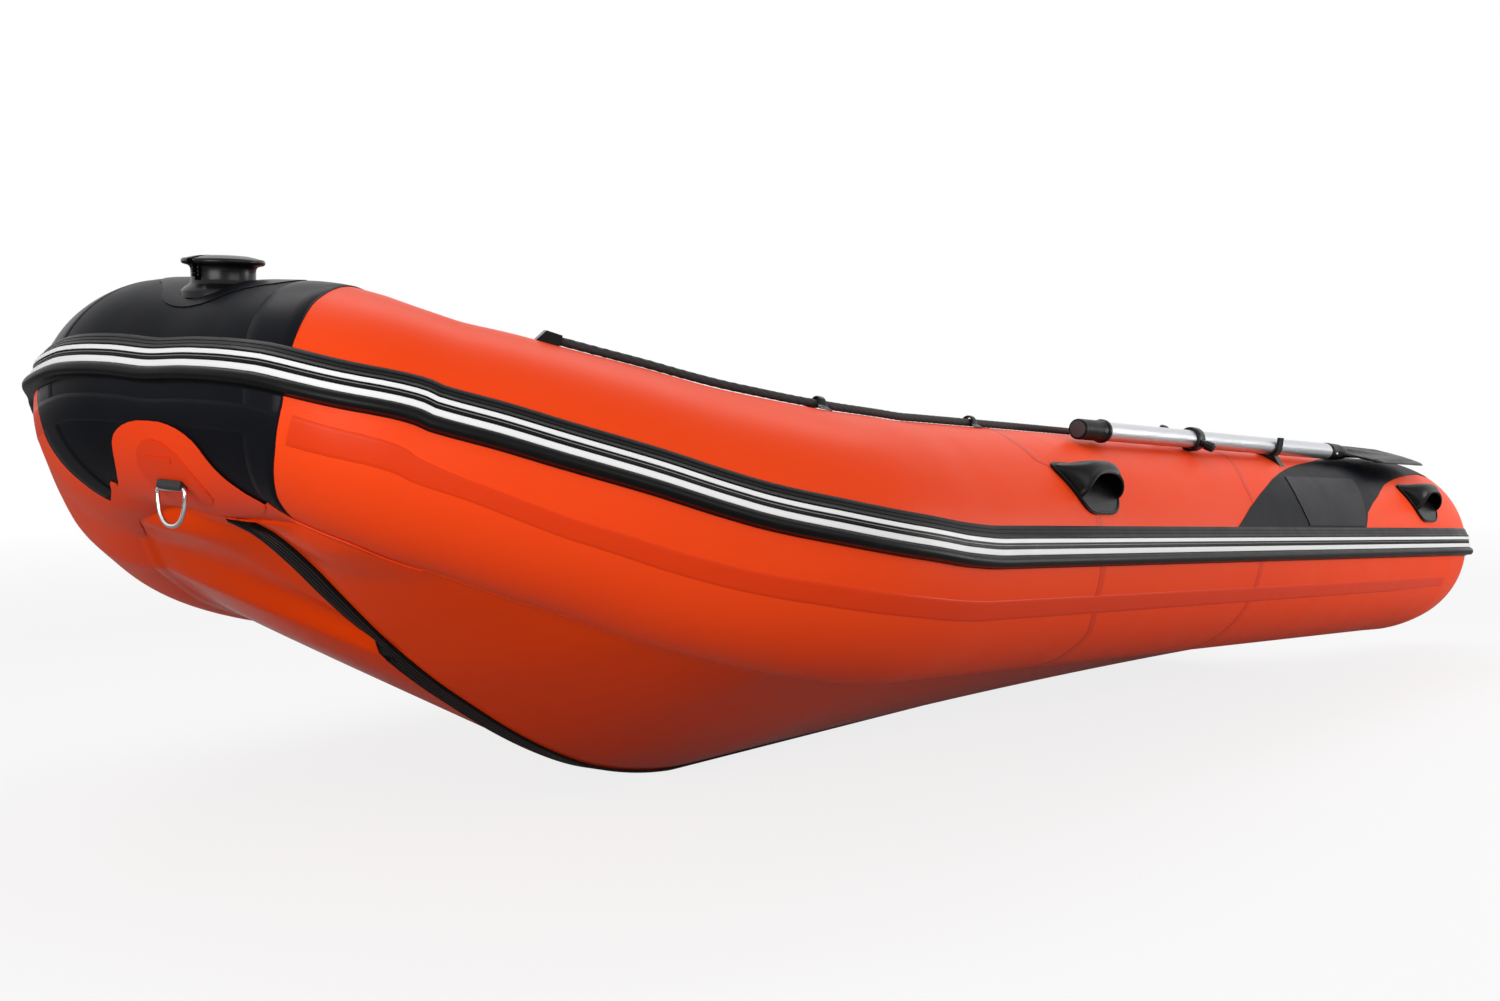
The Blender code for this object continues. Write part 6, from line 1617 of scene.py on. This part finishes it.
def oarlocks():
    """Collar round the shaft with its eye, arm and fluted knob, and the yoke with the swivel pin."""
    knob_axes = turned_axes(OAR_LINE + Vector((OAR_X["collar"], 0, 0)), SWIVEL_OUT)
    collar = along_oar([(radius, OAR_X["collar"] + x) for x, radius in COLLAR_RADII], closed=True)
    arm = loft([[(x * width, y, z) for x, z in ARM_SECTION] for y, width in ARM_WIDTHS])
    arm.transform(columns((1, 0, 0), SWIVEL_OUT, SWIVEL_WAY, PIN))
    upright = turned_axes(PIN, SWIVEL_WAY)
    for name, mesh, body, smooth, nodes, bevel in (
        ("oar_collar_ring", collar, "oar_{}", 35, ["oar_collar"], None),
        ("oar_collar_eye", turned(EYE, upright, 40, closed=True), "oar_{}", 35, (), None),
        ("oar_collar_arm", arm, "oar_{}", 30, (), 0.0012),
        ("oar_knob_boss", turned(BOSS, knob_axes, 28), "oar_{}", 35, (), None),
        ("oar_clamp_knob", knob(knob_axes), "knob_{}", 40, ["oar_knob"], None),
        ("swivel_knuckle", turned(KNUCKLE, turned_axes(PIN, (1, 0, 0)), 32), "yoke_{}", 35, ["oarlock_yoke"], None),
        ("swivel_pin", turned(SWIVEL_PIN, upright, 32), "yoke_{}", 35, (), None),
    ):
        both_sides(name, mesh, PLASTIC, body, smooth, nodes, bevel)


oars()
oarlocks()


# ---------------------------------------------------------------- inside of the boat


def plywood(name, face, dark, edge, thin, gloss=0.4, shine=0.28, ply=0.0021):
    """Varnished or painted plywood: grain across the boat on its faces, thin plies on its edges."""
    made = Finish(name, shine, Coat_Weight=gloss, Coat_Roughness=0.10)
    place = made.place()
    grain = made.noise(1.0, 5.0, 0.65, made.stretched(place, (70.0, 3.0, 70.0)))
    rings = made.noise(1.0, 2.0, 0.5, made.stretched(place, (15.4, 0.66, 15.4)))
    wood = made.mixed(face, dark, made.between(grain * 0.45 + rings * 0.55, 0.36, 0.64))
    plies = (made.along(place, thin) * (2 * pi / (2 * ply))).wave()
    layers = made.mixed(edge, tuple(0.45 * c for c in edge), made.between(plies, -0.3, 0.3))
    facing = made.along(made.node("ShaderNodeNewGeometry", output="Normal"), thin)
    made.colour(made.mixed(layers, wood, made.between(facing.size(), 0.45, 0.6)))
    made.roughness(made.between(grain, 0.3, 0.7, shine - 0.04, shine + 0.10))
    made.bump(grain * 0.0002, 1.0)
    return made.material


def dressed(names, material, bevel):
    """Gives the carried-over pieces their finish and rounded edges."""
    for name in names:
        obj = bpy.data.objects[name]
        for slot in obj.material_slots:
            slot.link = "DATA"
            slot.material = material
        softened(obj, bevel, angle=30)


def on_both(*stems):
    """Names of pieces that are there on both sides."""
    return ["{}_{}".format(stem, side) for stem in stems for side, _ in SIDES]


def inside_finishes():
    """Finishes of the wooden, metal and moulded pieces that keep their own shape."""
    varnished = plywood(
        "varnished marine plywood", (0.52, 0.27, 0.105), (0.36, 0.165, 0.055), (0.50, 0.29, 0.13), HULL_UP)
    board = plywood(
        "painted transom plywood", (0.030, 0.031, 0.033), (0.022, 0.023, 0.025), (0.34, 0.21, 0.11), HULL_AHEAD,
        gloss=0.2, shine=0.38)
    deck = plywood(
        "dark floor plywood", (0.055, 0.050, 0.046), (0.036, 0.032, 0.030), (0.32, 0.20, 0.10), HULL_UP,
        gloss=0.1, shine=0.46)
    aluminium = brushed_metal(
        "extruded aluminium", 0.36, (3.0, 240.0, 240.0), (0.63, 0.64, 0.66), (0.50, 0.51, 0.53), 0.08)
    ribbed = moulded("ribbed black plastic plate", (0.014, 0.014, 0.015), 0.42, grain=0.0003)
    grey = moulded("grey valve plastic", (0.20, 0.20, 0.205), 0.40, worn=(0.26, 0.26, 0.26))
    for names, material, bevel in (
        (("bench_aft", "bench_fore"), varnished, 0.002),
        (("transom",), board, 0.0025),
        (("floorboard_a", "floorboard_b", "floorboard_c"), deck, 0.0015),
        (on_both("stringer"), aluminium, 0.001),
        (("motor_plate",), ribbed, 0.002),
        (on_both("seat_rail"), RUBBER, 0.001),
        (on_both("valve_body") + ["valve_body_bow", "valve_keel"], PLASTIC, 0.0006),
        (on_both("valve_cap") + ["valve_cap_bow"], grey, 0.0008),
        (("drain_body", "drain_cap"), PLASTIC, 0.0008),
        (on_both("line_end_fore", "line_end_aft", "oarlock_base", "oar_clip"), PLASTIC, 0.0008),
    ):
        dressed(names, material, bevel)


def keel_tube():
    """Inflated keel under the floor: its fabric bulges smoothly between its seams."""
    source = bpy.data.objects["keel_tube"]
    mesh = source.data.copy()
    mesh.materials.clear()
    bm = bmesh.new()
    bm.from_mesh(mesh)
    bmesh.ops.remove_doubles(bm, verts=bm.verts, dist=0.0001)
    bm.to_mesh(mesh)
    bm.free()
    mesh.transform(HULL.inverted() @ source.matrix_world)
    tube = piece("keel_tube_fabric", mesh, FABRIC["black"], smooth=80, replaced=["keel_tube"])
    step = tube.modifiers.new("smooth fabric", "SUBSURF")
    step.levels = 2
    step.render_levels = 2


inside_finishes()
keel_tube()


# ---------------------------------------------------------------- studio


# Soft lamps: name, place, what they point at, size and watts
LAMPS = (
    ("overhead_light", (-0.2, -0.4, 3.2), (0.2, 0.1, 0.3), (4.6, 1.2), 62),
    ("bow_light", (4.2, 0.9, 0.9), (1.0, 0.2, 0.35), (1.8, 1.2), 50),
    ("side_light", (1.6, 4.2, 1.5), (0.4, 0.6, 0.3), (3.0, 1.2), 36),
    ("stern_light", (-2.6, 3.4, 0.8), (-1.2, 0.6, 0.4), (1.2, 1.4), 54),
)


def studio():
    """Plain pale floor and backdrop with soft light from above and the sides."""
    white = (1, 1, 1, 1)
    floor = Finish("studio floor", 0.9)
    seen = floor.node("ShaderNodeLightPath", output="Is Camera Ray")
    glossy = floor.node("ShaderNodeLightPath", output="Is Glossy Ray")
    floor.colour(floor.mixed((0.34, 0.34, 0.34), (0.80, 0.80, 0.80), seen))
    distance = floor.node("ShaderNodeVectorMath", {"operation": "LENGTH"}, {0: floor.place()}, output="Value")
    far = floor.between(distance, 2.6, 6.5)
    glow = floor.node("ShaderNodeEmission", {}, {"Color": white, "Strength": 1.0})
    share = (seen * (0.82 + far * 0.18) + glossy * 0.04).kept()
    floor.surface(share, Signal(floor, floor.shader.outputs[0]), glow)
    bm = bmesh.new()
    bmesh.ops.create_grid(bm, x_segments=2, y_segments=2, size=40)
    mesh = mesh_of(bm)
    mesh.materials.append(floor.material)
    obj = bpy.data.objects.new("studio_floor", mesh)
    bpy.context.scene.collection.objects.link(obj)
    obj.location = (0, 0, -0.0005)

    world = bpy.data.worlds.new("studio")
    bpy.context.scene.world = world
    backdrop = Tree(world)
    camera = backdrop.node("ShaderNodeLightPath", output="Is Camera Ray")
    glossy = backdrop.node("ShaderNodeLightPath", output="Is Glossy Ray")
    lighting = backdrop.node("ShaderNodeBackground", {}, {"Color": white, "Strength": 0.32})
    shown = backdrop.node("ShaderNodeBackground", {}, {"Color": white, "Strength": 1.0})
    backdrop.surface(camera.larger(glossy), lighting, shown)

    for name, place, aim, size, power in LAMPS:
        data = bpy.data.lights.new(name, "AREA")
        data.shape = "RECTANGLE"
        data.size, data.size_y = size
        data.energy = power
        lamp = bpy.data.objects.new(name, data)
        lamp.location = place
        lamp.rotation_euler = (Vector(aim) - Vector(place)).to_track_quat("-Z", "Y").to_euler()
        bpy.context.scene.collection.objects.link(lamp)


studio()
bpy.context.scene.view_settings.view_transform = "Standard"
